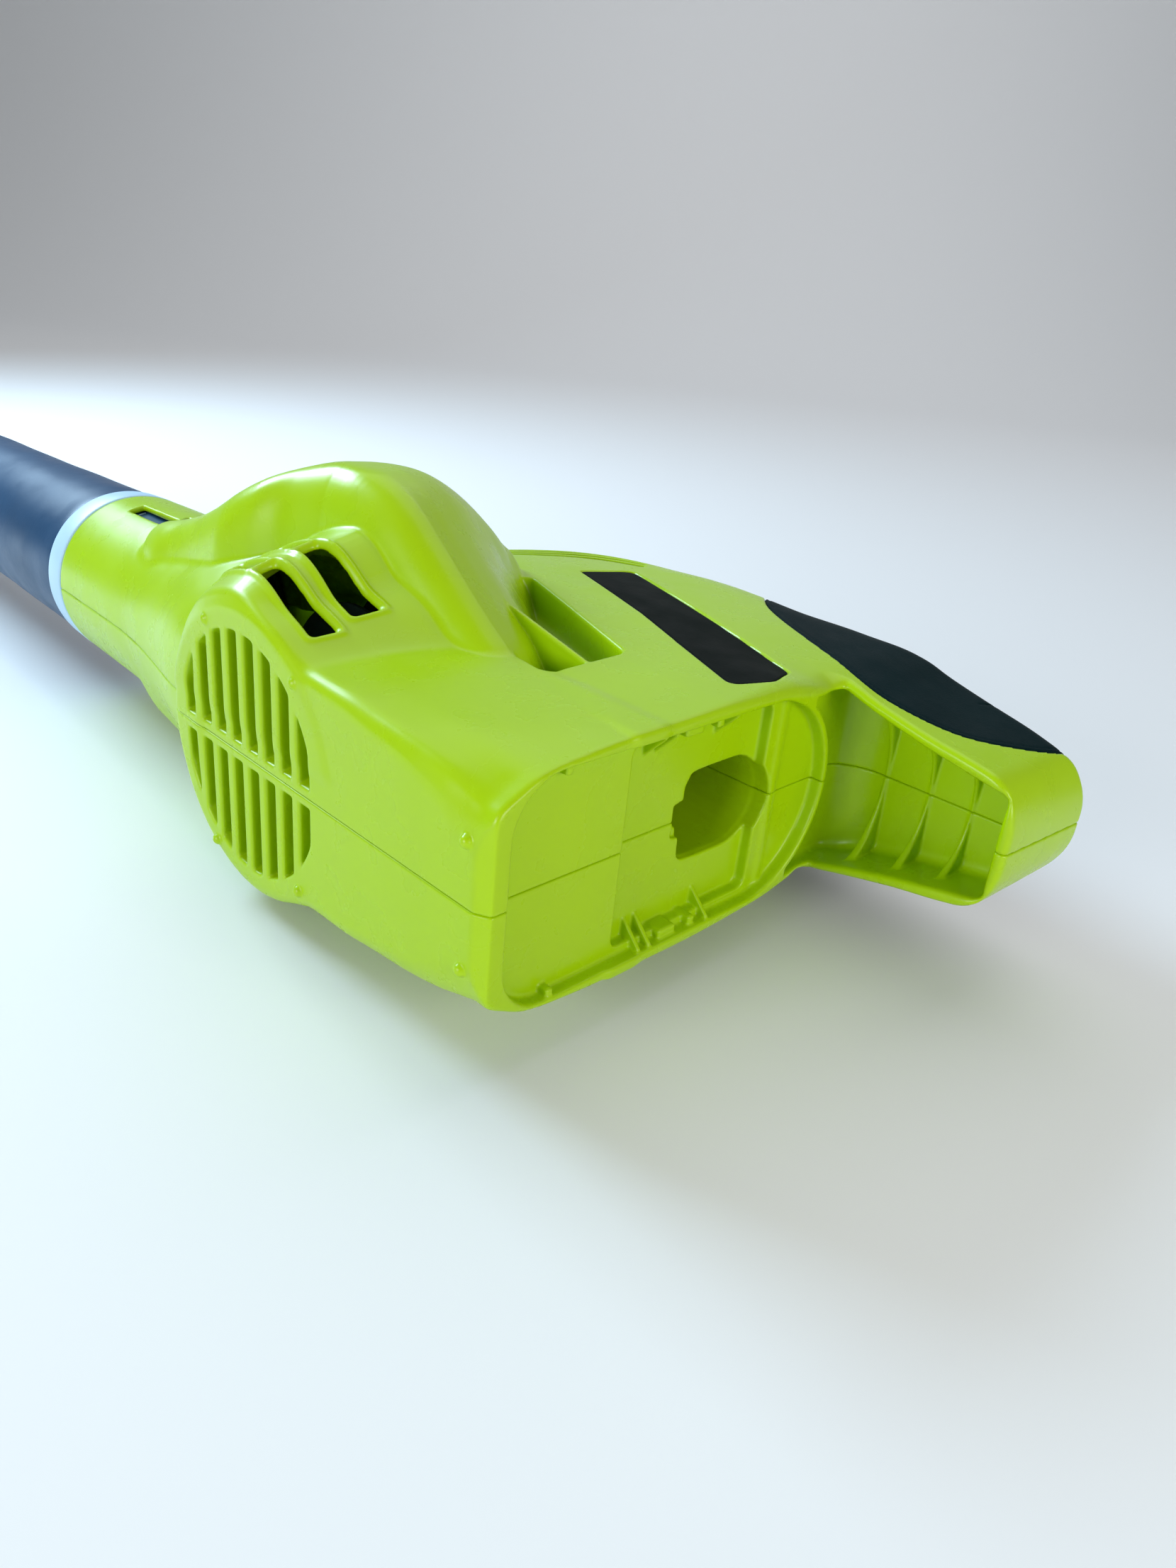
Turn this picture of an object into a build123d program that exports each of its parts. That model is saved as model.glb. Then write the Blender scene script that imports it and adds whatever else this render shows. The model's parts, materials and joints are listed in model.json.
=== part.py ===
from build123d import *
import os
from math import cos, sin, pi, radians

# Cordless leaf blower lying on its right side.
# Row frame: +X towards the nozzle, +Y out of the base plate (the intake side), +Z up, which is the
# blower's own left side. Origin: the fan axis where it leaves the flat base plate.
# Blower heights h (base plate towards grip) are -Y here, so a side profile is drawn on Plane.XY and
# a section across the fan axis on Plane.XZ.offset(h).

# ---- driving dimensions, mm ----
X_REAR = -121.0        # rear (battery) face
FAN_R = 49.0           # impeller outer radius
FAN_H0, FAN_H1 = 46.0, 73.0
EYE_R = 29.0           # inlet eye of the fan
INTAKE_R = 46.0        # chamber behind the grille
GRILLE_R = 41.4        # grille opening
SLOT_PITCH = 10.3
SLOT_W = 5.9
BASE_R = 50.0          # round front of the base plate
DUCT_H = 60.0          # height of the blow tube's axis
COLLAR_R0, COLLAR_R1 = 40.0, 38.6
COLLAR_BORE = 36.4
X_COLLAR0, X_COLLAR1 = 70.0, 206.0
HUMP_CX, HUMP_CZ = 18.0, -7.0   # centre of the scroll bulge
HUMP_R = 92.6
FLAT_SIDE = 57.0       # the right side's flat
WALL = 2.6
HALF_W = 40.0          # half width of the body
SPLIT = 0.05           # half of the gap between the two housing halves
MOTOR_R = 22.0
MOTOR_H0, MOTOR_H1 = 82.0, 140.0
SHAFT_R = 2.5
TUBE_X0, TUBE_X1 = 140.0, 480.0
NOZZLE_X1 = 744.0
SLIDE_TRAVEL = 8.0
LATCH_TRAVEL = 2.5

os.makedirs("parts", exist_ok=True)


def P(x, h):
    """A point of a side profile: x along the blower, h above the base plate."""
    return (x, -h)


def duct(x):
    """Section plane across the blow tube at x: local x is row Y, local y is row Z."""
    return Plane(origin=(x, -DUCT_H, 0), x_dir=(0, 1, 0), z_dir=(1, 0, 0))


TOP = [(-190.5, 200), (-184, 205.5), (-160, 207), (-130, 209.5), (-96, 216), (-62, 223), (-30, 228),
       (0, 227.5), (30, 217), (58, 197), (80, 168), (98, 132), (112, 104)]
REAR = [(X_REAR, 153.4), (-186.7, 154.4)]


def smooth(points, cuts=3):
    """Points on a smooth curve through the given ones."""
    out = []
    n = len(points)
    for i in range(n - 1):
        p0, p1, p2, p3 = points[max(i - 1, 0)], points[i], points[i + 1], points[min(i + 2, n - 1)]
        for k in range(cuts):
            t = k / cuts
            out.append(tuple(0.5 * (2 * b + (c - a) * t + (2 * a - 5 * b + 4 * c - d) * t * t + (3 * b - a - 3 * c + d) * t ** 3)
                             for a, b, c, d in zip(p0, p1, p2, p3)))
    return out + [points[-1]]


def side_profile(inset=0.0):
    """Outline of the body seen from the side, above the slab."""
    with BuildSketch(mode=Mode.PRIVATE) as s:
        with BuildLine():
            Polyline(P(*REAR[1]), P(*REAR[0]), P(X_REAR, 40), P(60, 40), P(112, 70),
                     *[P(*p) for p in reversed(smooth(TOP))], close=True)
        make_face()
        if inset:
            offset(amount=-inset, kind=Kind.INTERSECTION)
    return s.sketch


PLAN = [(-192, 19), (-168, 24.5), (-152, 26.5), (-133, 31.5), (X_REAR, 36.0), (-106, 38.6), (-76, HALF_W), (30, HALF_W),
        (62, 37), (90, 30), (112, 22)]


def plan_profile(inset=0.0):
    """Outline of the upper body seen from above."""
    pts = PLAN + [(x, -z) for x, z in reversed(PLAN)]
    with BuildSketch(mode=Mode.PRIVATE) as s:
        with BuildLine():
            Polyline(*pts, close=True)
        make_face()
        if inset:
            offset(amount=-inset, kind=Kind.INTERSECTION)
    return s.sketch


def slab_outline(rear_x, rear_w, mid_w, shoulder_w, r):
    """Base outline: straight rear edge, curved sides and a round front."""
    with BuildSketch(mode=Mode.PRIVATE) as s:
        with BuildLine():
            Line((rear_x, -rear_w), (rear_x, rear_w))
            ThreePointArc((rear_x, rear_w), (-72, mid_w), (-30, shoulder_w))
            ThreePointArc((-30, shoulder_w), (r, 0), (-30, -shoulder_w))
            ThreePointArc((-30, -shoulder_w), (-72, -mid_w), (rear_x, -rear_w))
        make_face()
    return s.sketch


def slab(d=0.0, h0=0.0):
    """Slab from the base plate up to the body, widening upwards."""
    with BuildPart() as p:
        with BuildSketch(Plane.XZ.offset(h0)):
            add(slab_outline(-116 + d * 2, 24 - d, 36.2 - d, 41 - d, BASE_R - d))
        with BuildSketch(Plane.XZ.offset(58)):
            add(slab_outline(X_REAR + d * 2, 39.6 - d, 40.2 - d, 43 - d, 57 - d))
        loft(ruled=True)
    return p.part


def upper(d=0.0):
    """Upper body and tail: side outline crossed with the outline from above."""
    with BuildPart() as u:
        with BuildSketch(Plane.XY.offset(-HALF_W - 1)):
            add(side_profile(d))
        extrude(amount=2 * HALF_W + 2)
        with BuildSketch(Plane.XZ.offset(30)):
            add(plan_profile(d))
        extrude(amount=210, mode=Mode.INTERSECT)
    return u.part


def hump_profile(d=0.0):
    return [(0, 22 + d), (58 - d, 22 + d), (80 - d, 31 + d * 0.6), (90 - d, 42), (HUMP_R - d, 56), (91 - d, 72),
            (84 - d, 90), (72 - d, 106 - d * 0.6), (58 - d, 119 - d), (0, 119 - d)]


def scroll(d=0.0):
    """Bulge of the fan scroll: round on the left side, flat on the right side."""
    with BuildPart() as u:
        with BuildSketch(Plane((HUMP_CX, 0, HUMP_CZ), x_dir=(1, 0, 0), z_dir=(0, 0, 1))):
            with BuildLine():
                pts = [(r, -h) for r, h in hump_profile(d)]
                Polyline(*pts, close=True)
            make_face()
        revolve(axis=Axis((HUMP_CX, 0, HUMP_CZ), (0, 1, 0)))
        split(bisect_by=Plane.XY.offset(-FLAT_SIDE + d), keep=Keep.TOP)
    return u.part


def collar(d=0.0):
    """Collar that holds the blow tube, with a flared root."""
    with BuildPart() as p:
        with BuildSketch(duct(30)):
            Circle(56 - d)
        with BuildSketch(duct(134)):
            Circle(COLLAR_R0 + 0.4 - d)
        loft(ruled=True)
        with BuildSketch(duct(X_COLLAR0 + 62)):
            Circle(COLLAR_R0 if d == 0 else COLLAR_BORE)
        with BuildSketch(duct(X_COLLAR1 + (1 if d else 0))):
            Circle(COLLAR_R1 if d == 0 else COLLAR_BORE)
        loft(ruled=True)
    return p.part


def grip_region(drop=0.0):
    """Block that holds the grip's share of the handle, above its wavy lower edge."""
    low = [(x, h - drop) for x, h in [(-192, 196), (-181, 192.5), (-162, 180), (-144, 175.5), (-128, 180.5), (-110, 192), (-79, 213), (-46, 231)]]
    with BuildPart() as g:
        with BuildSketch(Plane.XY.offset(-HALF_W - 2)):
            with BuildLine():
                Polyline(*[P(x, h) for x, h in smooth(low)], P(-46, 245), P(-200, 245), P(-200, low[0][1]), close=True)
            make_face()
        extrude(amount=2 * HALF_W + 4)
    return g.part


GRIP_T = 2.4
GRIP_BLOCK = grip_region()

# closed outer form of both halves
with BuildPart() as outer:
    add(slab())
    add(upper())
    add(scroll())
    add(collar())


# space under the tail that stays open
with BuildPart() as tail_block:
    with BuildSketch(Plane.XY.offset(-60)):
        with Locations(P(-160, 155)):
            Rectangle(78, 46)
    extrude(amount=120)

# space inside the walls; under the grip the wall steps in by the grip's thickness
GRIP_LOW = grip_region(3.0)
with BuildPart() as inner_under_grip:
    add(upper(GRIP_T + 2.4))
    add(GRIP_LOW, mode=Mode.INTERSECT)
with BuildPart() as inner_top:
    add(upper(WALL))
    add(GRIP_LOW, mode=Mode.SUBTRACT)
    add(inner_under_grip.part)
    add(tail_block.part, mode=Mode.SUBTRACT)

with BuildPart() as inner:
    add(slab(WALL, 3.0))
    add(inner_top.part)
    add(scroll(WALL))
    add(collar(WALL))

def port_cut():
    """Battery port: shallow outer recess and the deeper upper part."""
    with BuildPart() as p:
        with BuildSketch(Plane(origin=(X_REAR - 6, 0, 0), x_dir=(0, 1, 0), z_dir=(1, 0, 0))):
            with Locations((-62, 0)):
                RectangleRounded(107, 72, 17)
            with Locations((-114.5, 0)):
                Circle(36.2)
        extrude(amount=6 + 5)
        with BuildSketch(Plane(origin=(X_REAR - 6, 0, 0), x_dir=(0, 1, 0), z_dir=(1, 0, 0))):
            with Locations((-90, 0)):
                Rectangle(67, 66)
        extrude(amount=6 + 9.3)
    return p.part


def port_wall():
    """Wall that closes the body behind the battery port."""
    with BuildPart() as p:
        with BuildSketch(Plane(origin=(X_REAR + 4.6, 0, 0), x_dir=(0, 1, 0), z_dir=(1, 0, 0))):
            with Locations((-80, 0)):
                Rectangle(150, 76)
        extrude(amount=7.6)
    return p.part


def stem_hole():
    """D-shaped hole for the battery's stem."""
    with BuildPart() as p:
        with BuildSketch(Plane(origin=(X_REAR - 6, 0, 0), x_dir=(0, 1, 0), z_dir=(1, 0, 0))):
            with BuildLine():
                Line((-84, -15.3), (-84, 15.3))
                Line((-84, 15.3), (-108, 15.3))
                ThreePointArc((-108, 15.3), (-125, 0), (-108, -15.3))
                Line((-108, -15.3), (-84, -15.3))
            make_face()
        extrude(amount=51)
    return p.part


def tail_cavity():
    """Open hollow under the tail; the battery's top reaches into its root."""
    with BuildPart() as p:
        with BuildSketch(Plane.XZ.offset(150)):
            with BuildLine():
                Polyline((-183, 17), (-168, 21), (-152, 23), (-133, 28.5), (-121, 33), (-118, 33.6), (-118, -33.6),
                         (-121, -33), (-133, -28.5), (-152, -23), (-168, -21), (-183, -17), close=True)
            make_face()
        extrude(amount=25)
    return p.part


def tail_ribs(sign):
    """Three thin curved gusset ribs on this side of the tail's hollow."""
    with BuildPart() as p:
        for x, w in ((-131.5, 29.4), (-148.7, 24.0), (-164.6, 21.6)):
            with BuildSketch(Plane(origin=(x - 0.6, 0, 0), x_dir=(0, 1, 0), z_dir=(1, 0, 0))):
                with BuildLine():
                    Line((-155, sign * (w + 2)), (-155, sign * (w - 1.5)))
                    ThreePointArc((-155, sign * (w - 1.5)), (-166, sign * (w - 6)), (-175.4, sign * (w - 15)))
                    Polyline((-175.4, sign * (w - 15)), (-175.4, sign * (w + 2)), (-155, sign * (w + 2)))
                make_face()
            extrude(amount=1.2)
    return p.part


def grille_slots():
    """Slots of the intake grille, each half row stopping short of the middle bar."""
    with BuildPart() as p:
        with BuildSketch(Plane.XZ.offset(-2)):
            for i in range(8):
                x = (i - 3.5) * SLOT_PITCH * 0.98
                reach = (GRILLE_R ** 2 - (abs(x) + SLOT_W / 2) ** 2) ** 0.5
                for s in (1, -1):
                    with Locations((x, s * (3.0 + reach) / 2)):
                        Rectangle(SLOT_W, reach - 3.0)
        extrude(amount=8)
    return p.part


def side_slots():
    """Small intake windows in the left slab wall beside the grille."""
    with BuildPart() as s:
        for h0, h1 in ((11, 21), (28.5, 38)):
            with BuildSketch(Plane.XZ.offset(h0)):
                for a0, a1 in ((77, 112), (52, 66)):
                    p = lambda r, a: (r * cos(radians(a)), r * sin(radians(a)))
                    m = (a0 + a1) / 2
                    with BuildLine():
                        ThreePointArc(p(43, a0), p(43, m), p(43, a1))
                        Line(p(43, a1), p(64, a1))
                        ThreePointArc(p(64, a1), p(64, m), p(64, a0))
                        Line(p(64, a0), p(43, a0))
                    make_face()
            extrude(amount=h1 - h0)
    return s.part


def feet(sign):
    """Small moulded domes on the base plate."""
    with BuildPart() as f:
        with Locations(*[(x, -0.8, sign * z) for x, z in ((21.9, 39.9), (-31.2, 35.1), (-112.3, 19.4))]):
            Sphere(2.6)
    return f.part



# the badge's outline on the left side
BADGE = [(14, 161), (2, 183.5), (-108, 139), (-110, 109), (-42, 139)]
BADGE_T = 1.2


def badge_prism(grow=0.0):
    with BuildPart() as p:
        with BuildSketch(Plane.XY.offset(20)):
            with BuildLine():
                FilletPolyline(*[P(*q) for q in BADGE], radius=4.0, close=True)
            make_face()
            if grow:
                offset(amount=grow)
        extrude(amount=30)
    return p.part


def stem_socket():
    """Walls of the pocket that takes the battery's stem."""
    with BuildPart() as p:
        with BuildSketch(Plane(origin=(-112, 0, 0), x_dir=(0, 1, 0), z_dir=(1, 0, 0))):
            with BuildLine():
                Line((-82, -17.3), (-82, 17.3))
                Line((-82, 17.3), (-108, 17.3))
                ThreePointArc((-108, 17.3), (-127, 0), (-108, -17.3))
                Line((-108, -17.3), (-82, -17.3))
            make_face()
        extrude(amount=36)
    return p.part


def inner_walls():
    """Plates that part the intake, the scroll and the motor space, and the motor's rear rib."""
    with BuildPart() as p:
        for h0, h1, r in ((40.0, 42.5, 38.0), (76.0, 78.5, 34.0)):
            with BuildSketch(Plane.XZ.offset(h0)):
                with Locations((17.5, 0)):
                    Rectangle(175, 190)
                Circle(r, mode=Mode.SUBTRACT)
            extrude(amount=h1 - h0)
        with BuildSketch(Plane.XZ.offset(130)):
            with Locations((15, 0)):
                Rectangle(90, 90)
            Circle(25.1, mode=Mode.SUBTRACT)
        extrude(amount=2.4)
        with BuildSketch(Plane.XZ.offset(2.0)):
            with Locations((-71.2, 0)):
                Rectangle(2.4, 90)
        extrude(amount=76.5)
        with BuildSketch(Plane.XZ.offset(2.0)):
            Circle(INTAKE_R + 2)
            Circle(INTAKE_R, mode=Mode.SUBTRACT)
        extrude(amount=40.5)
    return p.part


# screw posts: x, height, depth of the screw's head below the middle plane, reach of the post
BOSSES = [(-98, 30, 24, 39), (-98, 142, 24, 39), (-60, 184, 24, 39.2), (-180, 184.5, 8, 21), (38, 184, 20, 39.2),
          (62, 128, 24, 39), (-59.5, 20, 24, 39)]


def bosses(sign):
    with BuildPart() as p:
        for x, h, head, reach in BOSSES:
            with BuildSketch(Plane.XY.offset(SPLIT * sign)):
                with Locations(P(x, h)):
                    Circle(4.8)
            extrude(amount=reach * sign)
    return p.part


def boss_holes(sign):
    with BuildPart() as p:
        for x, h, head, reach in BOSSES:
            with BuildSketch(Plane.XY):
                with Locations(P(x, h)):
                    Circle(1.35 if sign > 0 else 1.75)
            extrude(amount=13 if sign > 0 else -head - 1)
            if sign < 0:
                with BuildSketch(Plane.XY.offset(-head)):
                    with Locations(P(x, h)):
                        Circle(3.6)
                extrude(amount=-60)
    return p.part


def slider_pad():
    """Thick pad under the power slider."""
    with BuildPart() as p:
        with BuildSketch(Plane.XZ.offset(220.5)):
            with Locations((-23, 0)):
                Rectangle(46, 24)
        extrude(amount=6)
    return p.part


def slider_cuts():
    """Recess for the slider's button and the slot for its stem."""
    with BuildPart() as p:
        with BuildSketch(Plane.XZ.offset(226.0)):
            with Locations((-23, 0)):
                RectangleRounded(38, 17, 4)
        extrude(amount=10)
        with BuildSketch(Plane.XZ.offset(214)):
            with Locations((-25, 0)):
                Rectangle(15.4, 6.4)
        extrude(amount=15)
    return p.part


LATCH_A = 14.0   # the release tab's place round the collar, towards the base from the left
LATCH_DIR = (0, sin(radians(LATCH_A)), cos(radians(LATCH_A)))


def latch_plane(r):
    o = (169.0, -DUCT_H + r * LATCH_DIR[1], r * LATCH_DIR[2])
    return Plane(origin=o, x_dir=(1, 0, 0), z_dir=LATCH_DIR)


def latch_window():
    """Window in the collar over the release tab, with the finger scoop behind it."""
    with BuildPart() as p:
        with BuildSketch(latch_plane(30)):
            Rectangle(34, 6.4)
        extrude(amount=16)
    return p.part


def shell(sign):
    """One moulded half of the housing."""
    with BuildPart() as walls:
        add(inner_walls())
        add(stem_socket())
        add(bosses(sign))
        add(port_wall())
        add(slider_pad())
        add(core.part, mode=Mode.INTERSECT)
    with BuildPart() as bore:
        with BuildSketch(duct(100)):
            Circle(COLLAR_BORE)
        extrude(amount=110)
    with BuildPart() as s:
        add(outer.part)
        add(inner.part, mode=Mode.SUBTRACT)
        add(grip_cover.part, mode=Mode.SUBTRACT)
        add(walls.part)
        add(bore.part, mode=Mode.SUBTRACT)
        add(port_cut(), mode=Mode.SUBTRACT)
        add(stem_hole(), mode=Mode.SUBTRACT)
        add(tail_cavity(), mode=Mode.SUBTRACT)
        add(tail_ribs(sign))
        add(grille_slots(), mode=Mode.SUBTRACT)
        add(slider_cuts(), mode=Mode.SUBTRACT)
        add(boss_holes(sign), mode=Mode.SUBTRACT)
        split(bisect_by=Plane.XY.offset(SPLIT * sign), keep=Keep.TOP if sign > 0 else Keep.BOTTOM)
    return s.part


# grip: a skin over the handle's top
with BuildPart() as grip_cover:
    add(upper())
    add(GRIP_BLOCK, mode=Mode.INTERSECT)
    add(upper(GRIP_T), mode=Mode.SUBTRACT)

# the whole form under the grip
with BuildPart() as core:
    add(outer.part)
    add(grip_cover.part, mode=Mode.SUBTRACT)


def save(p, name, solids=1):
    p.label = name
    n = len(p.solids())
    print(f"{name:24s} solids {n} volume {p.volume / 1000:9.3f} cm3")
    if n != solids:
        print("   !! expected", solids)
        for q in p.solids():
            print("     ", round(q.volume, 2), q.bounding_box())
    export_step(p, f"parts/{name}.step")


# ---------------- housing ----------------
with BuildPart() as left_housing:
    add(shell(1))
    add(side_slots(), mode=Mode.SUBTRACT)
    add(feet(1))
    add(latch_window(), mode=Mode.SUBTRACT)
    with BuildPart(mode=Mode.PRIVATE) as badge_seat:
        add(upper())
        add(upper(BADGE_T), mode=Mode.SUBTRACT)
        add(badge_prism(0.15), mode=Mode.INTERSECT)
    add(badge_seat.part, mode=Mode.SUBTRACT)
save(left_housing.part, "left_housing")

with BuildPart() as right_housing:
    add(shell(-1))
    add(feet(-1))
save(right_housing.part, "right_housing")

save(grip_cover.part, "grip_cover")

with BuildPart() as badge_plate:
    add(upper())
    add(upper(BADGE_T), mode=Mode.SUBTRACT)
    add(badge_prism(), mode=Mode.INTERSECT)
save(badge_plate.part, "badge_plate")

with BuildPart() as housing_screws:
    for x, h, head, reach in BOSSES:
        with BuildSketch(Plane.XY.offset(-head)):
            with Locations(P(x, h)):
                Circle(3.3)
        extrude(amount=-2.4)
        with BuildSketch(Plane.XY.offset(-head)):
            with Locations(P(x, h)):
                Circle(1.6)
        extrude(amount=head - 0.2)
        with BuildSketch(Plane.XY.offset(-0.2)):
            with Locations(P(x, h)):
                Circle(1.3)
        extrude(amount=12)
save(housing_screws.part, "housing_screws", len(BOSSES))

# ---------------- fan ----------------
with BuildPart() as fan_inlet_ring:
    with BuildSketch(Plane.XY):
        with BuildLine():
            Polyline(P(44, 42.5), P(44, 44.0), P(31.6, 44.0), P(EYE_R + 1.4, 45.6), P(EYE_R - 0.2, 45.6), P(EYE_R - 0.2, 44.6),
                     P(30.6, 42.5), close=True)
        make_face()
    revolve(axis=Axis((0, 0, 0), (0, 1, 0)))
save(fan_inlet_ring.part, "fan_inlet_ring")

with BuildPart() as motor_plate:
    with BuildSketch(Plane.XZ.offset(78.5)):
        Circle(38.0)
        Circle(8.6, mode=Mode.SUBTRACT)
        with PolarLocations(15.0, 2):
            Circle(1.6, mode=Mode.SUBTRACT)
    extrude(amount=2.0)
save(motor_plate.part, "motor_plate")

with BuildPart() as impeller:
    with BuildSketch(Plane.XZ.offset(FAN_H1 - 2.0)):
        Circle(FAN_R)
    extrude(amount=2.0)
    with BuildSketch(Plane.XZ.offset(56)):
        Circle(8.0)
    extrude(amount=FAN_H1 - 56 - 1)
    with BuildSketch(Plane.XZ.offset(FAN_H0 + 1)):
        for k in range(9):
            with Locations(Location((0, 0, 0), (0, 0, 40 * k))):
                with BuildLine():
                    a = ThreePointArc((20, 0), (33, -7), (47.6, -19.5))
                    b = ThreePointArc((20.6, 1.7), (33.8, -5.3), (48.0, -17.4))
                    Line(a @ 0, b @ 0)
                    Line(a @ 1, b @ 1)
                make_face()
    extrude(amount=FAN_H1 - FAN_H0 - 2)
    with BuildSketch(Plane.XZ.offset(50)):
        Circle(SHAFT_R)
    extrude(amount=30, mode=Mode.SUBTRACT)
save(impeller.part, "impeller")

with BuildPart() as impeller_nut:
    with BuildSketch(Plane.XZ.offset(52)):
        RegularPolygon(4.6, 6)
        Circle(SHAFT_R, mode=Mode.SUBTRACT)
    extrude(amount=4.0)
save(impeller_nut.part, "impeller_nut")

# ---------------- motor ----------------
with BuildPart() as motor_shaft:
    with BuildSketch(Plane.XZ.offset(49)):
        Circle(SHAFT_R)
    extrude(amount=95)
save(motor_shaft.part, "motor_shaft")


def ring(h0, h1, r0, r1):
    with BuildPart() as p:
        with BuildSketch(Plane.XZ.offset(h0)):
            Circle(r1)
            Circle(r0, mode=Mode.SUBTRACT)
        extrude(amount=h1 - h0)
    return p.part


with BuildPart() as motor_can:
    add(ring(80.5, 136, MOTOR_R - 1.6, MOTOR_R))
    add(ring(80.5, 82.5, 8.0, MOTOR_R))
    add(ring(82.5, 87.5, 8.0, 10.0))
    with BuildSketch(Plane.XZ.offset(79)):
        with PolarLocations(15.0, 2):
            Circle(1.6)
    extrude(amount=5, mode=Mode.SUBTRACT)
save(motor_can.part, "motor_can")

with BuildPart() as front_bearing:
    add(ring(80.5, 85.5, SHAFT_R + 0.05, 8.0))
save(front_bearing.part, "front_bearing")

with BuildPart() as rear_bearing:
    add(ring(134.5, 139.0, SHAFT_R + 0.05, 6.5))
save(rear_bearing.part, "rear_bearing")

with BuildPart() as motor_magnets:
    for s in (1, -1):
        with BuildSketch(Plane.XZ.offset(89)):
            with BuildLine():
                t = radians(66)
                ThreePointArc((s * 20.4 * cos(t), 20.4 * sin(t)), (s * 20.4, 0), (s * 20.4 * cos(t), -20.4 * sin(t)))
                Line((s * 20.4 * cos(t), -20.4 * sin(t)), (s * 16.6 * cos(t), -16.6 * sin(t)))
                ThreePointArc((s * 16.6 * cos(t), -16.6 * sin(t)), (s * 16.6, 0), (s * 16.6 * cos(t), 16.6 * sin(t)))
                Line((s * 16.6 * cos(t), 16.6 * sin(t)), (s * 20.4 * cos(t), 20.4 * sin(t)))
            make_face()
        extrude(amount=34)
save(motor_magnets.part, "motor_magnets", 2)

with BuildPart() as rotor_core:
    with BuildSketch(Plane.XZ.offset(92)):
        Circle(16.0)
        with PolarLocations(12.2, 7):
            Rectangle(7.8, 5.2, mode=Mode.SUBTRACT)
        Circle(SHAFT_R, mode=Mode.SUBTRACT)
    extrude(amount=27)
save(rotor_core.part, "rotor_core")

with BuildPart() as rotor_windings:
    with BuildSketch(Plane.XZ.offset(88)):
        with PolarLocations(12.0, 7):
            Rectangle(7.0, 4.6)
    extrude(amount=35)
save(rotor_windings.part, "rotor_windings", 7)

with BuildPart() as commutator:
    add(ring(124.5, 132, SHAFT_R, 6.0))
save(commutator.part, "commutator")

with BuildPart() as motor_end_cap:
    add(ring(136, 139, 6.5, MOTOR_R))
    add(ring(139, 141.5, 3.4, 9.0))
    for s in (1, -1):
        with BuildSketch(Plane.XZ.offset(124)):
            with Locations((12.4 * s, 0)):
                Rectangle(7.6, 7.0)
                Rectangle(7.6, 4.4, mode=Mode.SUBTRACT)
        extrude(amount=12.0)
save(motor_end_cap.part, "motor_end_cap")

with BuildPart() as motor_brushes:
    for s in (1, -1):
        with BuildSketch(Plane.XZ.offset(125)):
            with Locations((11.4 * s, 0)):
                Rectangle(9.6, 4.2)
        extrude(amount=6)
save(motor_brushes.part, "motor_brushes", 2)

with BuildPart() as motor_terminals:
    for s in (1, -1):
        with BuildSketch(Plane.XZ.offset(139)):
            with Locations((14.0 * s, 0)):
                Rectangle(0.8, 4.8)
        extrude(amount=8)
save(motor_terminals.part, "motor_terminals", 2)

with BuildPart() as motor_rubber_ring:
    add(ring(127, 136, MOTOR_R, MOTOR_R + 3.0))
save(motor_rubber_ring.part, "motor_rubber_ring")

with BuildPart() as motor_screws:
    for s in (1, -1):
        with BuildSketch(Plane.XZ.offset(76.8)):
            with Locations((15 * s, 0)):
                Circle(3.0)
        extrude(amount=1.7)
        with BuildSketch(Plane.XZ.offset(78.5)):
            with Locations((15 * s, 0)):
                Circle(1.5)
        extrude(amount=5)
save(motor_screws.part, "motor_screws", 2)

# ---------------- electrics ----------------
with BuildPart() as battery_terminal_block:
    with BuildSketch(Plane(origin=(-75.6, 0, 0), x_dir=(0, 1, 0), z_dir=(1, 0, 0))):
        with Locations((-104, 0)):
            RectangleRounded(36, 27, 3)
    extrude(amount=12)
save(battery_terminal_block.part, "battery_terminal_block")

with BuildPart() as terminal_blades:
    for s in (1, -1):
        for h in (95, 108):
            with BuildSketch(Plane(origin=(-86, 0, 0), x_dir=(0, 1, 0), z_dir=(1, 0, 0))):
                with Locations((-h, 8.5 * s)):
                    Rectangle(6.3, 0.8)
            extrude(amount=10.4)
save(terminal_blades.part, "terminal_blades", 4)

with BuildPart() as switch_module:
    with BuildSketch(Plane.XZ.offset(195)):
        with Locations((-24, 0)):
            RectangleRounded(30, 16, 2)
    extrude(amount=17)
save(switch_module.part, "switch_module")

with BuildPart() as power_slider:
    with BuildSketch(Plane.XZ.offset(226.4)):
        with Locations((-28.5, 0)):
            RectangleRounded(24, 14, 4)
    extrude(amount=3.4)
    with BuildSketch(Plane.XZ.offset(229.8)):
        with Locations(*[(-28.5 + 3.2 * k, 0) for k in range(-3, 4)]):
            Rectangle(1.4, 10.5)
    extrude(amount=1.1)
    with BuildSketch(Plane.XZ.offset(212.6)):
        with Locations((-29.2, 0)):
            Rectangle(6.0, 5.4)
    extrude(amount=13.8)
save(power_slider.part, "power_slider")


def lead(points, radius):
    """A round lead along straight runs joined by tangent arcs."""
    with BuildPart() as p:
        with BuildLine() as route:
            FilletPolyline(*points, radius=radius)
        with BuildSketch(Plane(origin=route.line @ 0, z_dir=route.line % 0)):
            Circle(1.3)
        sweep()
    return p.part


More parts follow.
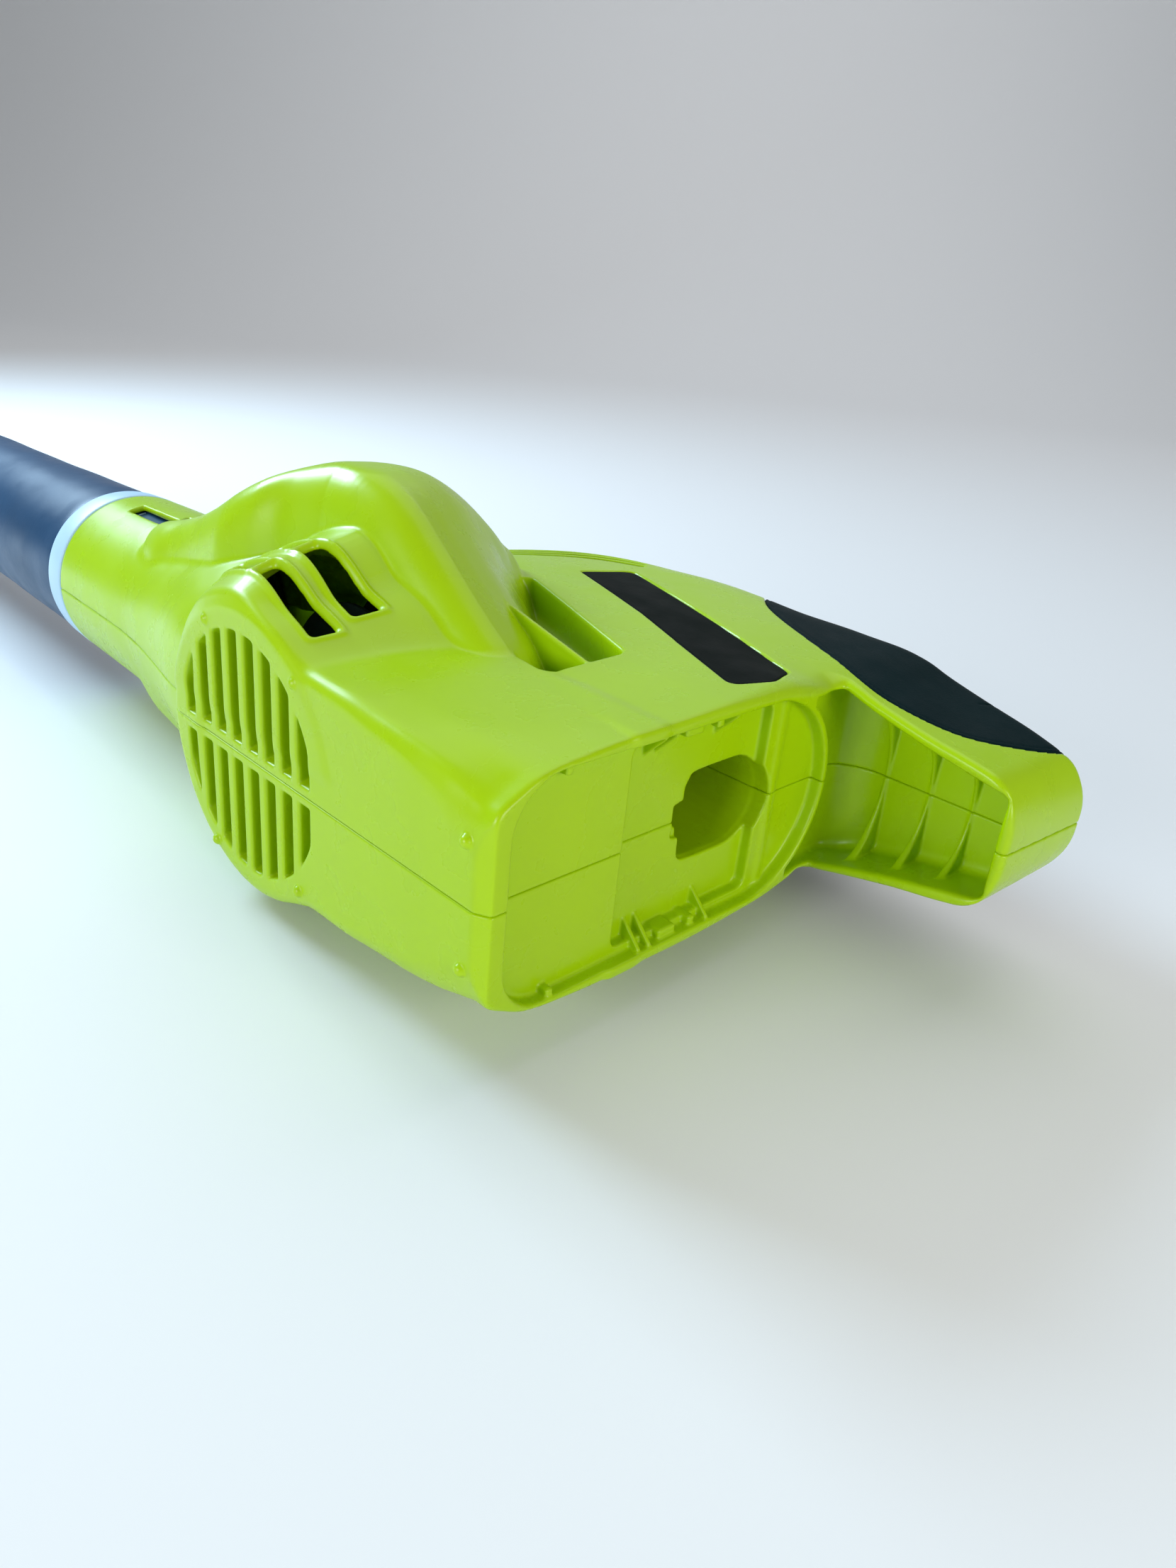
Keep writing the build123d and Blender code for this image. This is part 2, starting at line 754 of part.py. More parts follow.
LEADS = {
    "lead_battery_to_switch": [(-63.6, -112, 6), (-52, -112, 6), (-48, -140, 6), (-33, -168, 6), (-33, -195, 6)],
    "lead_battery_to_motor": [(-63.6, -97, -6), (-52, -97, -6), (-40, -128, -6), (-30, -160, -6), (-16.0, -160, -3), (-14, -147.3, -1)],
    "lead_switch_to_motor": [(-15, -195, 2), (-15, -182, 2), (14.0, -166, 2), (14.0, -147.3, 1)],
}
with BuildPart() as lead_battery_to_switch:
    add(lead(LEADS["lead_battery_to_switch"], 5.0))
save(lead_battery_to_switch.part, "lead_battery_to_switch")
with BuildPart() as lead_battery_to_motor:
    add(lead(LEADS["lead_battery_to_motor"], 4.0))
save(lead_battery_to_motor.part, "lead_battery_to_motor")
with BuildPart() as lead_switch_to_motor:
    add(lead(LEADS["lead_switch_to_motor"], 5.0))
save(lead_switch_to_motor.part, "lead_switch_to_motor")

# ---------------- blow tube ----------------
with BuildPart() as blow_tube:
    with BuildSketch(Plane.XY):
        with BuildLine():
            Polyline((TUBE_X0, -DUCT_H + 36.0), (222, -DUCT_H + 36.0), (222, -DUCT_H + 37.2), (437, -DUCT_H + 33.4),
                     (TUBE_X1, -DUCT_H + 32.6), (TUBE_X1, -DUCT_H + 30.2), (437, -DUCT_H + 31.0), (222, -DUCT_H + 33.6),
                     (TUBE_X0, -DUCT_H + 33.6), close=True)
        make_face()
    revolve(axis=Axis((0, -DUCT_H, 0), (1, 0, 0)))
    with BuildSketch(latch_plane(30)):
        Rectangle(32.6, 5.6)
    extrude(amount=10, mode=Mode.SUBTRACT)
save(blow_tube.part, "blow_tube")

with BuildPart() as release_tab:
    with BuildSketch(latch_plane(33.4)):
        Rectangle(31.8, 4.8)
    extrude(amount=2.5)
save(release_tab.part, "release_tab")

with BuildPart() as collar_ring:
    with BuildSketch(Plane.XY):
        with BuildLine():
            Polyline((206.4, -DUCT_H + 36.0), (206.4, -DUCT_H + 38.7), (219.6, -DUCT_H + 38.2), (222.0, -DUCT_H + 37.3),
                     (222.0, -DUCT_H + 36.0), close=True)
        make_face()
    revolve(axis=Axis((0, -DUCT_H, 0), (1, 0, 0)))
save(collar_ring.part, "collar_ring")


NOZZLE = [(466, 35.2, 35.21), (500, 34.6, 34.9), (600, 27, 42), (700, 17.5, 53), (NOZZLE_X1, 15.5, 55)]
NOZZLE_IN = [(480.4, 30.4, 30.41), (520, 30.2, 33.0), (600, 24.8, 39.8), (700, 15.3, 50.8), (NOZZLE_X1 + 1, 13.3, 52.9)]


def oval_loft(rows):
    """Solid through ovals across the duct: x, half height, half width."""
    with BuildPart() as p:
        for x, b, a in rows:
            with BuildSketch(duct(x)):
                Ellipse(b, a) if b > a else Ellipse(a, b, rotation=90)
        loft(ruled=True)
    return p.part


# flat nozzle: a round sleeve over the tube's end that flattens to a wide mouth
with BuildPart() as nozzle_tip:
    add(oval_loft(NOZZLE))
    add(oval_loft(NOZZLE_IN), mode=Mode.SUBTRACT)
    with BuildSketch(duct(460)):
        Circle(32.9)
    extrude(amount=20.5, mode=Mode.SUBTRACT)
save(nozzle_tip.part, "nozzle_tip")
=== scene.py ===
import json
import math
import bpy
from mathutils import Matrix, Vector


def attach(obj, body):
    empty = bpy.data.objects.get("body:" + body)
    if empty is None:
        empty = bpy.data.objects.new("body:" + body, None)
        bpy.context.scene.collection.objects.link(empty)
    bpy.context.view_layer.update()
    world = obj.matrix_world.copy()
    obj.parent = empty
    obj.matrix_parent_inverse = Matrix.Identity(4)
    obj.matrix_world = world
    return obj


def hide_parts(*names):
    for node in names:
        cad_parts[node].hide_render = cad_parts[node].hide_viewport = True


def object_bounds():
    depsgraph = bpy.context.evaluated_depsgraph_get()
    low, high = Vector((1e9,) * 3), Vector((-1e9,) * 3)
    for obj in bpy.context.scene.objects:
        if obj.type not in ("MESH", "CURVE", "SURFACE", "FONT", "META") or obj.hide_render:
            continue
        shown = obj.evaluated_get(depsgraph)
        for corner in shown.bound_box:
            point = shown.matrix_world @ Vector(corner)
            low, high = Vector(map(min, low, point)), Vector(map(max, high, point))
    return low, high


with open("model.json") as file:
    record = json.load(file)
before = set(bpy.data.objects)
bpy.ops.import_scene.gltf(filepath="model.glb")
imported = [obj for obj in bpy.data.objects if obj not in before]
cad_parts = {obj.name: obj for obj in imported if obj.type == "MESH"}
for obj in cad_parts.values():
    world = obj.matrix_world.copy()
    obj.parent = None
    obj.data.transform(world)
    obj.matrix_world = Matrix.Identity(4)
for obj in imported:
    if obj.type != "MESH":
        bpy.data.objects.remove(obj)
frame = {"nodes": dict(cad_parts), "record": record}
from concurrent.futures import ThreadPoolExecutor

import bmesh
import bpy
import numpy as np
import openvdb as vdb
from mathutils import Matrix, Vector

CAD_BOX = [list(v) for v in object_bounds()]
F = np.float32
AXIS_X = 116.0          # the fan axis in blower coordinates, mm
DUCT_Z = 60.0


# Blower coordinates, mm: x towards the nozzle from the base plate's rear edge, y towards the
# blower's left side, z from the base plate towards the grip. The row frame is (x - 116, -z, y).
def to_row(v):
    v = np.asarray(v, dtype=np.float64)
    return np.stack([(v[:, 0] - AXIS_X), -v[:, 2], v[:, 1]], axis=1) / 1000.0


# ------------------------------------------------------------------ distance fields
def smin(a, b, k):
    h = np.maximum(k - np.abs(a - b), 0) / k
    return np.minimum(a, b) - h * h * k * F(0.25)


def smax(a, b, k):
    return -smin(-a, -b, k)


def smooth_pts(points, cuts=6, closed=False):
    p = np.asarray(points, float)
    n = len(p)
    out = []
    for i in range(n if closed else n - 1):
        if closed:
            a, b, c, d = p[(i - 1) % n], p[i], p[(i + 1) % n], p[(i + 2) % n]
        else:
            a, b, c, d = p[max(i - 1, 0)], p[i], p[i + 1], p[min(i + 2, n - 1)]
        for k in range(cuts):
            t = k / cuts
            out.append(0.5 * (2 * b + (c - a) * t + (2 * a - 5 * b + 4 * c - d) * t * t + (3 * b - a - 3 * c + d) * t ** 3))
    if not closed:
        out.append(p[-1])
    return np.array(out)


def rounded(points, r):
    """A closed polygon with its corners rounded by r, or by each corner's own radius."""
    p = np.asarray(points, float)
    n = len(p)
    rs = r if hasattr(r, "__len__") else [r] * n
    out = []
    for i in range(n):
        a, b, c, rr = p[i - 1], p[i], p[(i + 1) % n], rs[i]
        if rr <= 0:
            out.append(b)
            continue
        u, v = (a - b), (c - b)
        lu, lv = np.linalg.norm(u), np.linalg.norm(v)
        u, v = u / lu, v / lv
        half = math.acos(max(-1, min(1, float(u @ v)))) / 2
        t = min(rr / math.tan(half), lu * 0.49, lv * 0.49)
        s, e = b + u * t, b + v * t
        for k in range(7):
            w = k / 6
            out.append((1 - w) ** 2 * s + 2 * w * (1 - w) * b + w * w * e)
    return np.array(out)


class Table2D:
    """Signed distance to a closed 2-D outline, negative inside, read from a table."""

    def __init__(self, pts, h=0.7, pad=24.0):
        pts = np.asarray(pts, float)
        self.lo = pts.min(0) - pad
        hi = pts.max(0) + pad
        self.h = h
        nx, ny = (np.ceil((hi - self.lo) / h).astype(int) + 1)
        gx = self.lo[0] + np.arange(nx) * h
        gy = self.lo[1] + np.arange(ny) * h
        X, Y = np.meshgrid(gx, gy, indexing="ij")
        best = np.full(X.shape, 1e18)
        inside = np.zeros(X.shape, bool)
        n = len(pts)
        for i in range(n):
            a, b = pts[i], pts[(i + 1) % n]
            e = b - a
            L = float(e @ e)
            if L < 1e-12:
                continue
            t = np.clip(((X - a[0]) * e[0] + (Y - a[1]) * e[1]) / L, 0, 1)
            best = np.minimum(best, (X - a[0] - t * e[0]) ** 2 + (Y - a[1] - t * e[1]) ** 2)
            cond = (a[1] > Y) != (b[1] > Y)
            with np.errstate(divide="ignore", invalid="ignore"):
                xi = (b[0] - a[0]) * (Y - a[1]) / (b[1] - a[1]) + a[0]
            inside ^= cond & (X < xi)
        d = np.sqrt(best)
        self.t = np.where(inside, -d, d).astype(F)
        self.nx, self.ny = nx, ny
        self.hi = np.array([gx[-1], gy[-1]])

    def __call__(self, u, v):
        cu = np.clip(u, self.lo[0], self.hi[0] - 1e-3)
        cv = np.clip(v, self.lo[1], self.hi[1] - 1e-3)
        fu = (cu - self.lo[0]) / self.h
        fv = (cv - self.lo[1]) / self.h
        i = np.clip(fu.astype(np.int32), 0, self.nx - 2)
        j = np.clip(fv.astype(np.int32), 0, self.ny - 2)
        a = (fu - i).astype(F)
        b = (fv - j).astype(F)
        t = self.t
        base = (t[i, j] * (1 - a) + t[i + 1, j] * a) * (1 - b) + (t[i, j + 1] * (1 - a) + t[i + 1, j + 1] * a) * b
        out = np.hypot(u - cu, v - cv)
        return (base + out).astype(F)


def lut(xs, ys, cuts=10):
    """A smooth run through the given pairs, without overshoot."""
    xs = np.asarray(xs, float)
    ys = np.asarray(ys, float)
    h = np.diff(xs)
    s = np.diff(ys) / h
    m = np.zeros(len(xs))
    for i in range(1, len(xs) - 1):
        if s[i - 1] * s[i] > 0:
            w1, w2 = 2 * h[i] + h[i - 1], h[i] + 2 * h[i - 1]
            m[i] = (w1 + w2) / (w1 / s[i - 1] + w2 / s[i])
    m[0], m[-1] = s[0], s[-1]
    X, Y = [], []
    for i in range(len(h)):
        for k in range(cuts):
            t = k / cuts
            X.append(xs[i] + t * h[i])
            Y.append((2 * t ** 3 - 3 * t ** 2 + 1) * ys[i] + (t ** 3 - 2 * t ** 2 + t) * h[i] * m[i] + (3 * t ** 2 - 2 * t ** 3) * ys[i + 1] + (t ** 3 - t ** 2) * h[i] * m[i + 1])
    X.append(xs[-1])
    Y.append(ys[-1])
    X, Y = np.array(X), np.array(Y)
    return lambda v: np.interp(v, X, Y).astype(F)


def relax(pts, quads, passes=4):
    """Even out the voxel steps without shrinking the surface."""
    e = np.vstack([quads[:, [0, 1]], quads[:, [1, 2]], quads[:, [2, 3]], quads[:, [3, 0]]])
    n = len(pts)
    a, b = e[:, 0], e[:, 1]
    deg = (np.bincount(a, minlength=n) + np.bincount(b, minlength=n)).astype(float)
    deg[deg == 0] = 1
    p = pts.astype(np.float64)
    for k in range(passes * 2):
        w = 0.55 if k % 2 == 0 else -0.57
        q = np.stack([(np.bincount(a, weights=p[b, c], minlength=n) + np.bincount(b, weights=p[a, c], minlength=n)) / deg for c in range(3)], 1)
        p = p + w * (q - p)
    return p


def field_mesh(name, field, lo, hi, vox, block=20):
    """Quads on the zero surface of a distance field, worked out only in the blocks it crosses."""
    lo, hi = np.asarray(lo, float), np.asarray(hi, float)
    nb = np.ceil((hi - lo) / (vox * block)).astype(int)
    centres = [lo[a] + (np.arange(nb[a]) + 0.5) * vox * block for a in range(3)]
    CX, CY, CZ = np.meshgrid(*[c.astype(F) for c in centres], indexing="ij")
    rough = field(CX, CY, CZ, None)
    near = np.argwhere(np.abs(rough) < vox * block * 0.87 * 1.45 + 2 * vox)
    grid = vdb.FloatGrid(3.0)
    ar = np.arange(block, dtype=F) * F(vox)

    def one(b):
        o = lo + b * vox * block
        X, Y, Z = np.meshgrid(ar + F(o[0]), ar + F(o[1]), ar + F(o[2]), indexing="ij")
        box = (o, o + vox * block)
        d = field(X, Y, Z, box) / F(vox)
        return b, np.ascontiguousarray(np.clip(d, -3, 3), dtype=F)

    with ThreadPoolExecutor(4) as ex:
        for b, d in ex.map(one, near):
            if d.min() < 2.99:
                grid.copyFromArray(d, ijk=tuple(int(v) for v in b * block), tolerance=0.0)
            if d.max() < -2.99:
                pass
    pts, quads = grid.convertToQuads(isovalue=0.0)
    pts = lo + relax(pts, quads) * vox
    return mesh_object(name, pts, quads)


def mesh_object(name, pts, faces, smooth=True, row=False):
    me = bpy.data.meshes.new(name)
    co = np.asarray(pts) if row else to_row(pts)
    q = np.asarray(faces)
    n, k = q.shape
    me.vertices.add(len(co))
    me.vertices.foreach_set("co", np.ascontiguousarray(co, dtype=np.float32).ravel())
    me.loops.add(n * k)
    me.loops.foreach_set("vertex_index", q.astype(np.int32).ravel())
    me.polygons.add(n)
    me.polygons.foreach_set("loop_start", (np.arange(n) * k).astype(np.int32))
    me.polygons.foreach_set("use_smooth", np.full(n, smooth))
    me.update()
    me.validate()
    ob = bpy.data.objects.new(name, me)
    bpy.context.scene.collection.objects.link(ob)
    return ob


def near_box(box, lo, hi, m=6.0):
    """True if a block may touch a feature's own box; always true for the rough pass."""
    if box is None:
        return True
    return all(box[0][a] - m < hi[a] and box[1][a] + m > lo[a] for a in range(3))


# ------------------------------------------------------------------ the housing's form
W0 = lut([-6, 0, 6, 16, 31, 47, 61, 70, 81, 86, 95], [24, 24, 26.2, 30.7, 34.7, 37, 39.1, 39.5, 40.2, 41.2, 41.6])
WT = lut([-6, 10, 50, 88, 100], [39.7, 40.3, 40.9, 41.8, 42.2])
FZ = lut([0, 3.3, 9.5, 18, 27.5, 53, 88], [0, 0.32, 0.565, 0.80, 0.892, 0.99, 1.0])
FZD = lut([0, 1.6, 6.4, 13.7, 22.7, 40, 60], [0.1, 0.097, 0.0395, 0.0276, 0.0097, 0.0038, 0])
RZ = lut([0, 10, 24, 38, 50, 62], [50.2, 51.2, 52.6, 54.5, 57.5, 62])


FLARE_A = lut([0, 28, 46, 60, 82, 108, 180], [0, 0, 0.75, 1, 1, 0, 0])
FLARE_Z = lut([-3, 0, 1, 5.4, 8.7, 14, 20, 30, 42, 62], [0, 0, 2.2, 5.0, 6.6, 8.0, 9.0, 10.5, 11.5, 12])


def flare_f(x, y, z):
    """The front wall sweeps outwards towards the duct on the left side."""
    r = np.hypot(x - AXIS_X, y)
    a = np.degrees(np.arctan2(y, x - AXIS_X))
    d = (r - RZ(z) - FLARE_A(a) * FLARE_Z(z)) * F(0.8)
    d = smax(d, -z, F(3.0))
    d = smax(d, z - F(50), F(5))
    return smax(d, F(8) - y, 6)


def slab_f(x, ya, z):
    f = FZ(z)
    w0, wt = W0(x), WT(x)
    w = w0 + (wt - w0) * f
    g = np.sqrt(1 + ((wt - w0) * FZD(z)) ** 2 + F(0.03))
    side = (ya - w) / g
    tail = smax(side, x - 100, 6)
    front = np.hypot(x - AXIS_X, ya) - RZ(z)
    d = smin(tail, front, F(5.0))
    d = smax(d, -z, F(5.0))
    d = smax(d, -(x + F(4.8)), F(1.8))
    d = smax(d, (-2.3 * x - 4.1 * z) / F(4.70), F(0.5))
    return smax(d, z - 66, 6)


TOP = [(-74.5, 200), (-69, 204.5), (-56, 206.4), (-35, 208), (-10, 210.5), (20, 216.2), (54, 222.6), (86, 226.8), (112, 226.3),
       (140, 218), (168, 201), (192, 172), (211, 138), (228, 104), (240, 84)]
top_curve = smooth_pts(TOP, 6)
END = [(-70.9, 150)]
SIDE = Table2D(np.vstack([top_curve, [[240, 40], [-60, 40], [-70.9, 154]]]))
PLAN = smooth_pts([(-90, 16.5), (-75.5, 18.5), (-66, 22.2), (-52, 25.4), (-36, 28.2), (-17, 32.6), (-5, 36.0), (10, 38.6), (40, 40.4), (90, 41.2), (146, 40.6), (178, 37.5),
                   (206, 31), (228, 24), (250, 12)], 4)
PW = lut(PLAN[:, 0], PLAN[:, 1])
PWD = lut(PLAN[:, 0], np.gradient(PLAN[:, 1], PLAN[:, 0]))
KTOP = lut([-78, -70, -56, -36, -10, 22, 54, 86, 112, 140, 168, 192, 220], [16, 15, 12, 9, 10, 24, 32, 32, 34, 28, 20, 13, 12])
LEAN = lut([-80, 20, 60, 240], [0.0, 0.0, 0.015, 0.03])
ZBLEND = lut([118, 126, 134, 142, 150], [1, 0.86, 0.5, 0.14, 0])


ARCH_W = lut([0, 114, 129, 140, 149, 153, 159, 170], [60, 40.7, 39.2, 37.0, 34.0, 35.2, 45, 90])


def upper_f(x, ya, z):
    lean = LEAN(x)
    w = PW(x)
    low = F(39.9) + F(0.7) * np.clip((z - 58) / 34, 0, 1)
    w = w + ZBLEND(z) * (low + F(0.006) * np.maximum(x, 0) - w) * np.clip((x + 14) / 8, 0, 1) * np.clip((120 - x) / 40, 0, 1) - lean * np.maximum(z - 150, 0)
    side = (ya - w) / np.sqrt(1 + PWD(x) ** 2 + lean * lean)
    # the body narrows round the port's arch at the rear
    side = smax(side, (ya - ARCH_W(z) - F(1.1) * np.maximum(x + F(4), 0)) / F(1.45), F(4))
    d = smax(SIDE(x, z), side, KTOP(x))
    cut = smax(x + F(5.0), z - F(153.6), F(1.5))
    d = smax(d, -cut, F(2.6))
    return smax(d, 50 - z, 3)


# fan scroll on the left side
SCROLL = smooth_pts([(46, 22), (53, 33), (61, 41.5), (70, 47.5), (80, 54.5), (90, 62), (100, 69.5), (110, 76.5), (121, 81.8), (134, 84.9), (149, 84.5), (164, 80.8),
                     (180, 74.3), (195, 66), (210, 58.2), (225, 51.6), (240, 46.6), (256, 42.4), (272, 38.8)], 4)
SCROLL_P = Table2D(np.vstack([SCROLL, [[272, -30], [46, -30]]]), pad=30)
SPROF = Table2D(smooth_pts([(-100, 41), (-60, 43), (-34, 44.8), (-22, 46.4), (-13, 48.2), (-7.4, 50.4), (-3.2, 53.4), (-0.9, 57), (0, 61), (-0.2, 67), (-0.9, 74), (-3.7, 85.5),
                            (-10.5, 98.5), (-20.5, 112), (-31, 123.5), (-46, 136), (-100, 150)], 4), pad=30)
SDROP = lut([146, 163, 180, 195, 218, 234, 246, 262, 300], [0, 3.5, 11.5, 15.3, 15.2, 15.8, 17.5, 16, 16])
SSW = lut([60, 95, 150], [1, 1, 0])


def scroll_f(x, y, z):
    xs = x - F(0.5) * np.clip(z - 62, 0, 60) * SSW(x)
    p = SCROLL_P(xs, y)
    d = SPROF(p, z + SDROP(x))
    return smax(d, x - 262, 5) * F(0.86)


# flat scroll on the right side
SCROLL_R = Table2D(np.vstack([smooth_pts([(40, 26), (50, 38), (62, 48), (78, 54.6), (96, 57), (120, 57), (150, 57), (174, 55.5), (196, 51.5), (218, 46.6), (240, 42.6), (262, 39.6)], 4),
                              [[262, -30], [40, -30]]]), pad=30)
SPROF_R = Table2D(smooth_pts([(-100, 22), (-40, 24), (-14, 27), (-5, 31), (-1.2, 36.5), (0, 43), (0, 60), (0, 92), (-1.6, 103), (-7, 113), (-18, 123), (-34, 133), (-100, 146)], 4), pad=30)


def scroll_right_f(x, y, z):
    d = SPROF_R(SCROLL_R(x, -y), z)
    return smax(d, x - 256, 14) * F(0.9)


COLLAR_R = lut([140, 150, 190, 215, 235, 255, 322, 340], [57.5, 56, 50.5, 45.8, 42.6, 40.7, 38.7, 38.2])


def collar_f(x, y, z):
    r = np.hypot(y, z - DUCT_Z)
    rad = COLLAR_R(x)
    d = (r - rad) * F(0.97)
    d = smax(d, x - F(322.0), F(1.6))
    return smax(d, 150 - x, 4)


def bore_f(x, y, z):
    r = np.hypot(y, z - DUCT_Z)
    return np.maximum(r - F(36.5), 236 - x)


# port: outline across the rear face, (y, z)
def arch_outline(w, z0, r0, zc, ra):
    pts = [(-w, zc)]
    for a in np.linspace(math.pi, 0, 25)[1:-1]:
        pts.append((ra * math.cos(a), zc + ra * math.sin(a)))
    pts.append((w, zc))
    for a in np.linspace(0, -math.pi / 2, 9):
        pts.append((w - r0 + r0 * math.cos(a), z0 + r0 + r0 * math.sin(a)))
    for a in np.linspace(-math.pi / 2, -math.pi, 9):
        pts.append((-w + r0 + r0 * math.cos(a), z0 + r0 + r0 * math.sin(a)))
    return np.array(pts)


PORT = Table2D(arch_outline(36.0, 8.5, 17.0, 114.0, 36.4))
DHOLE = Table2D(rounded([(-14.6, 87.6), (-3.4, 86.8), (-2.4, 84.6), (0.1, 83.2), (5.6, 82.9), (6.4, 87.2), (11, 87.2), (15.2, 89.6), (15.7, 98)] +
                        [(15.75 * math.cos(a), 110 + 15.75 * math.sin(a)) for a in np.linspace(0, math.pi, 15)] + [(-15.6, 98)],
                        [2.5, 0.8, 0.8, 0.8, 0.8, 0.8, 2, 2, 0] + [0] * 15 + [0]), h=0.35, pad=12)
TAILCAV = Table2D(rounded([(-67.2, 18.6), (-52, 21.4), (-36, 24.6), (-17, 29.4), (-5, 33.2), (3.4, 34.2), (3.4, -34.2), (-5, -33.2), (-17, -29.4), (-36, -24.6), (-52, -21.4), (-67.2, -18.6)],
                          [5, 20, 20, 20, 10, 5, 5, 10, 20, 20, 20, 5]), pad=20)


def port_f(x, ya, z):
    """Everything cut for the battery: recess, deeper upper part and the column across it."""
    out = smax(PORT(ya, z), x - F(0.2), F(1.2))
    deep = smax(smax(np.abs(z - 88.5) - F(32.5), ya - F(33.6), F(4)), x - F(4.4), F(1.0))
    out = smin(out, deep, F(0.6))
    column = np.hypot(x - F(2.6), z - F(127.6)) - F(3.0)
    out = smax(out, -smax(column, ya - 34, 1), F(1.2))
    hole = smax(DHOLE(ya, z), x - F(43), F(1.5))
    return smin(out, hole, F(0.5))


def port_left_right(x, y, z):
    """The D-shaped hole isn't symmetric: its notch lies to one side."""
    return smax(DHOLE(y, z), x - F(43), F(1.5))


def seg_block(x, y, z, c, h, r=0.4):
    q = [np.abs(a - F(b)) - F(s - r) for a, b, s in zip((x, y, z), c, h)]
    return np.sqrt(sum(np.maximum(v, 0) ** 2 for v in q)) + np.minimum(np.maximum(np.maximum(q[0], q[1]), q[2]), 0) - F(r)


def port_ribs(x, y, z, s):
    """Latch catches and little gussets along the port's side walls. s is the side."""
    ya = y * s
    d = seg_block(x, ya, z, (-0.9, 35.6, 27.6), (2.7, 2.1, 1.3))
    for zc in (65.0, 69.8, 97.4):
        g = np.maximum(np.abs(z - F(zc)) - F(0.75), (F(31.4) - ya - x) * F(0.707))
        g = np.maximum(g, np.maximum(np.maximum(-(x + F(3.6)), x - 5), ya - 37))
        d = np.minimum(d, g)
    d = np.minimum(d, seg_block(x, ya, z, (1.2, 35.4, 78.8), (3.8, 2.5, 4.0)))
    d = np.minimum(d, seg_block(x, ya, z, (1.0, 35.2, 90.4), (3.9, 2.3, 1.5)))
    return np.minimum(d, seg_block(x, ya, z, (2.6, 36.2, 78.0), (2.4, 1.6, 21.5)))


def tail_hollow(x, y, ya, z):
    d = smax(TAILCAV(x, y) + F(0.5), F(39.3) - np.hypot(y, z - F(114)), F(1.2))
    d = smax(d, F(122) - z, F(1))
    d = smax(d, z - F(175.2) + F(0.028) * np.maximum(x + 13, 0) ** 2, F(4.0))
    ribs = None
    for xc, w in ((-15.5, 29.0), (-32.7, 24.4), (-48.6, 21.6)):
        edge = F(154.4) + F(20.2) * np.sqrt(np.clip(1 - (ya / F(w + 2.0)) ** 2, 0, 1))
        r = smax(np.abs(x - F(xc)) - (F(0.5) + F(0.035) * ya), (edge - z) * F(0.7), F(0.5))
        ribs = r if ribs is None else np.minimum(ribs, r)
    return smax(d, -ribs, F(0.5))


SLOTS = []
for _i in range(8):
    _x = AXIS_X + (_i - 3.5) * 10.1
    SLOTS.append(_x)


def grille_f(x, y, z, ya):
    """The slots, as one field: narrow bays between deep bars, with sloped ends."""
    u = (x - F(AXIS_X)) / F(10.1)
    c = np.clip(np.round(u + F(0.5)) - F(0.5), -3.5, 3.5)
    bay = np.abs(x - F(AXIS_X) - c * F(10.1)) - F(2.9) + F(0.03) * z
    d = smax(bay, (np.hypot(x - AXIS_X, y) - F(41.4) + F(0.30) * np.clip(z, 0, 7)) * F(0.95), F(0.8))
    return smax(d, (F(3.0) + F(0.42) * np.clip(z, 0, 7) - ya) * F(0.92), F(0.5))


WINDOWS = ((14.3, 3.3, 82.5, 118.0, 0.03, 2.6), (30.8, 3.9, 80.5, 113.5, 0.06, 2.6), (13.2, 2.4, 64, 79.6, 0.0, 1.0), (29.2, 2.7, 62, 77.8, 0.0, 1.2))


def windows_f(x, y, z):
    """Two rows of side windows, cut radially: distance across their faces."""
    a = np.degrees(np.arctan2(y, x - AXIS_X))
    d = None
    for zc, hz, a0, a1, tilt, grow in WINDOWS:
        am, ah = (a0 + a1) / 2, (a1 - a0) / 2
        u = (np.abs(a - F(am)) - F(ah)) * F(math.pi / 180 * 54)
        k = np.clip((a - F(a0)) / F(a1 - a0), 0, 1)
        w = np.abs(z - F(zc) - F(tilt) * (a - F(am))) - F(hz) - F(grow * 0.5) * k
        q = smax(u, w, F(2.2))
        d = q if d is None else np.minimum(d, q)
    return d


GRIP_LOW = smooth_pts([(-64.0, 216), (-64.2, 204), (-63.4, 196), (-60, 188), (-54.5, 180), (-48.5, 173), (-42.5, 168.2), (-35, 164.8), (-27, 162.4), (-19, 160.9), (-9.8, 160.4),
                       (-1, 162.2), (8.7, 165.6), (20, 170), (32, 175.6), (45, 183), (56, 190.6), (63, 197.4), (70, 206.5), (77, 219), (82, 234)], 4)
GRIP = Table2D(np.vstack([GRIP_LOW, [[84, 262], [-64.0, 262]]]), h=0.6)
BADGE = Table2D(rounded([(128.5, 157.0), (119, 179.5), (6.7, 136.2), (1.5, 121), (7.0, 105.2), (73, 135.4)], [3, 5, 4, 8, 4, 40]), h=0.4)
POCKET = Table2D(rounded([(55, 63.5), (44.5, 61.5), (45, 97.5), (127, 130.5), (135, 124), (118, 92), (96, 66)], [3, 5, 6, 4, 3, 3, 3]), h=0.6)
def vents_f(x, ya, z):
    """Long motor vents running along the upper shoulder."""
    depth = SIDE(x, z)
    d = None
    for off, x0, x1 in ((16.5, 132, 200), (21.5, 129, 196), (26.5, 126, 190), (31.5, 123, 180)):
        q = np.abs(depth + F(off)) - F(1.35)
        q = smax(q, np.abs(x - F((x0 + x1) / 2)) - F((x1 - x0) / 2), F(2.0))
        d = q if d is None else np.minimum(d, q)
    return smax(d, F(18.0) - ya, F(2))


DOMES = ((137.9, 39.9), (84.8, 35.1), (3.7, 19.4))


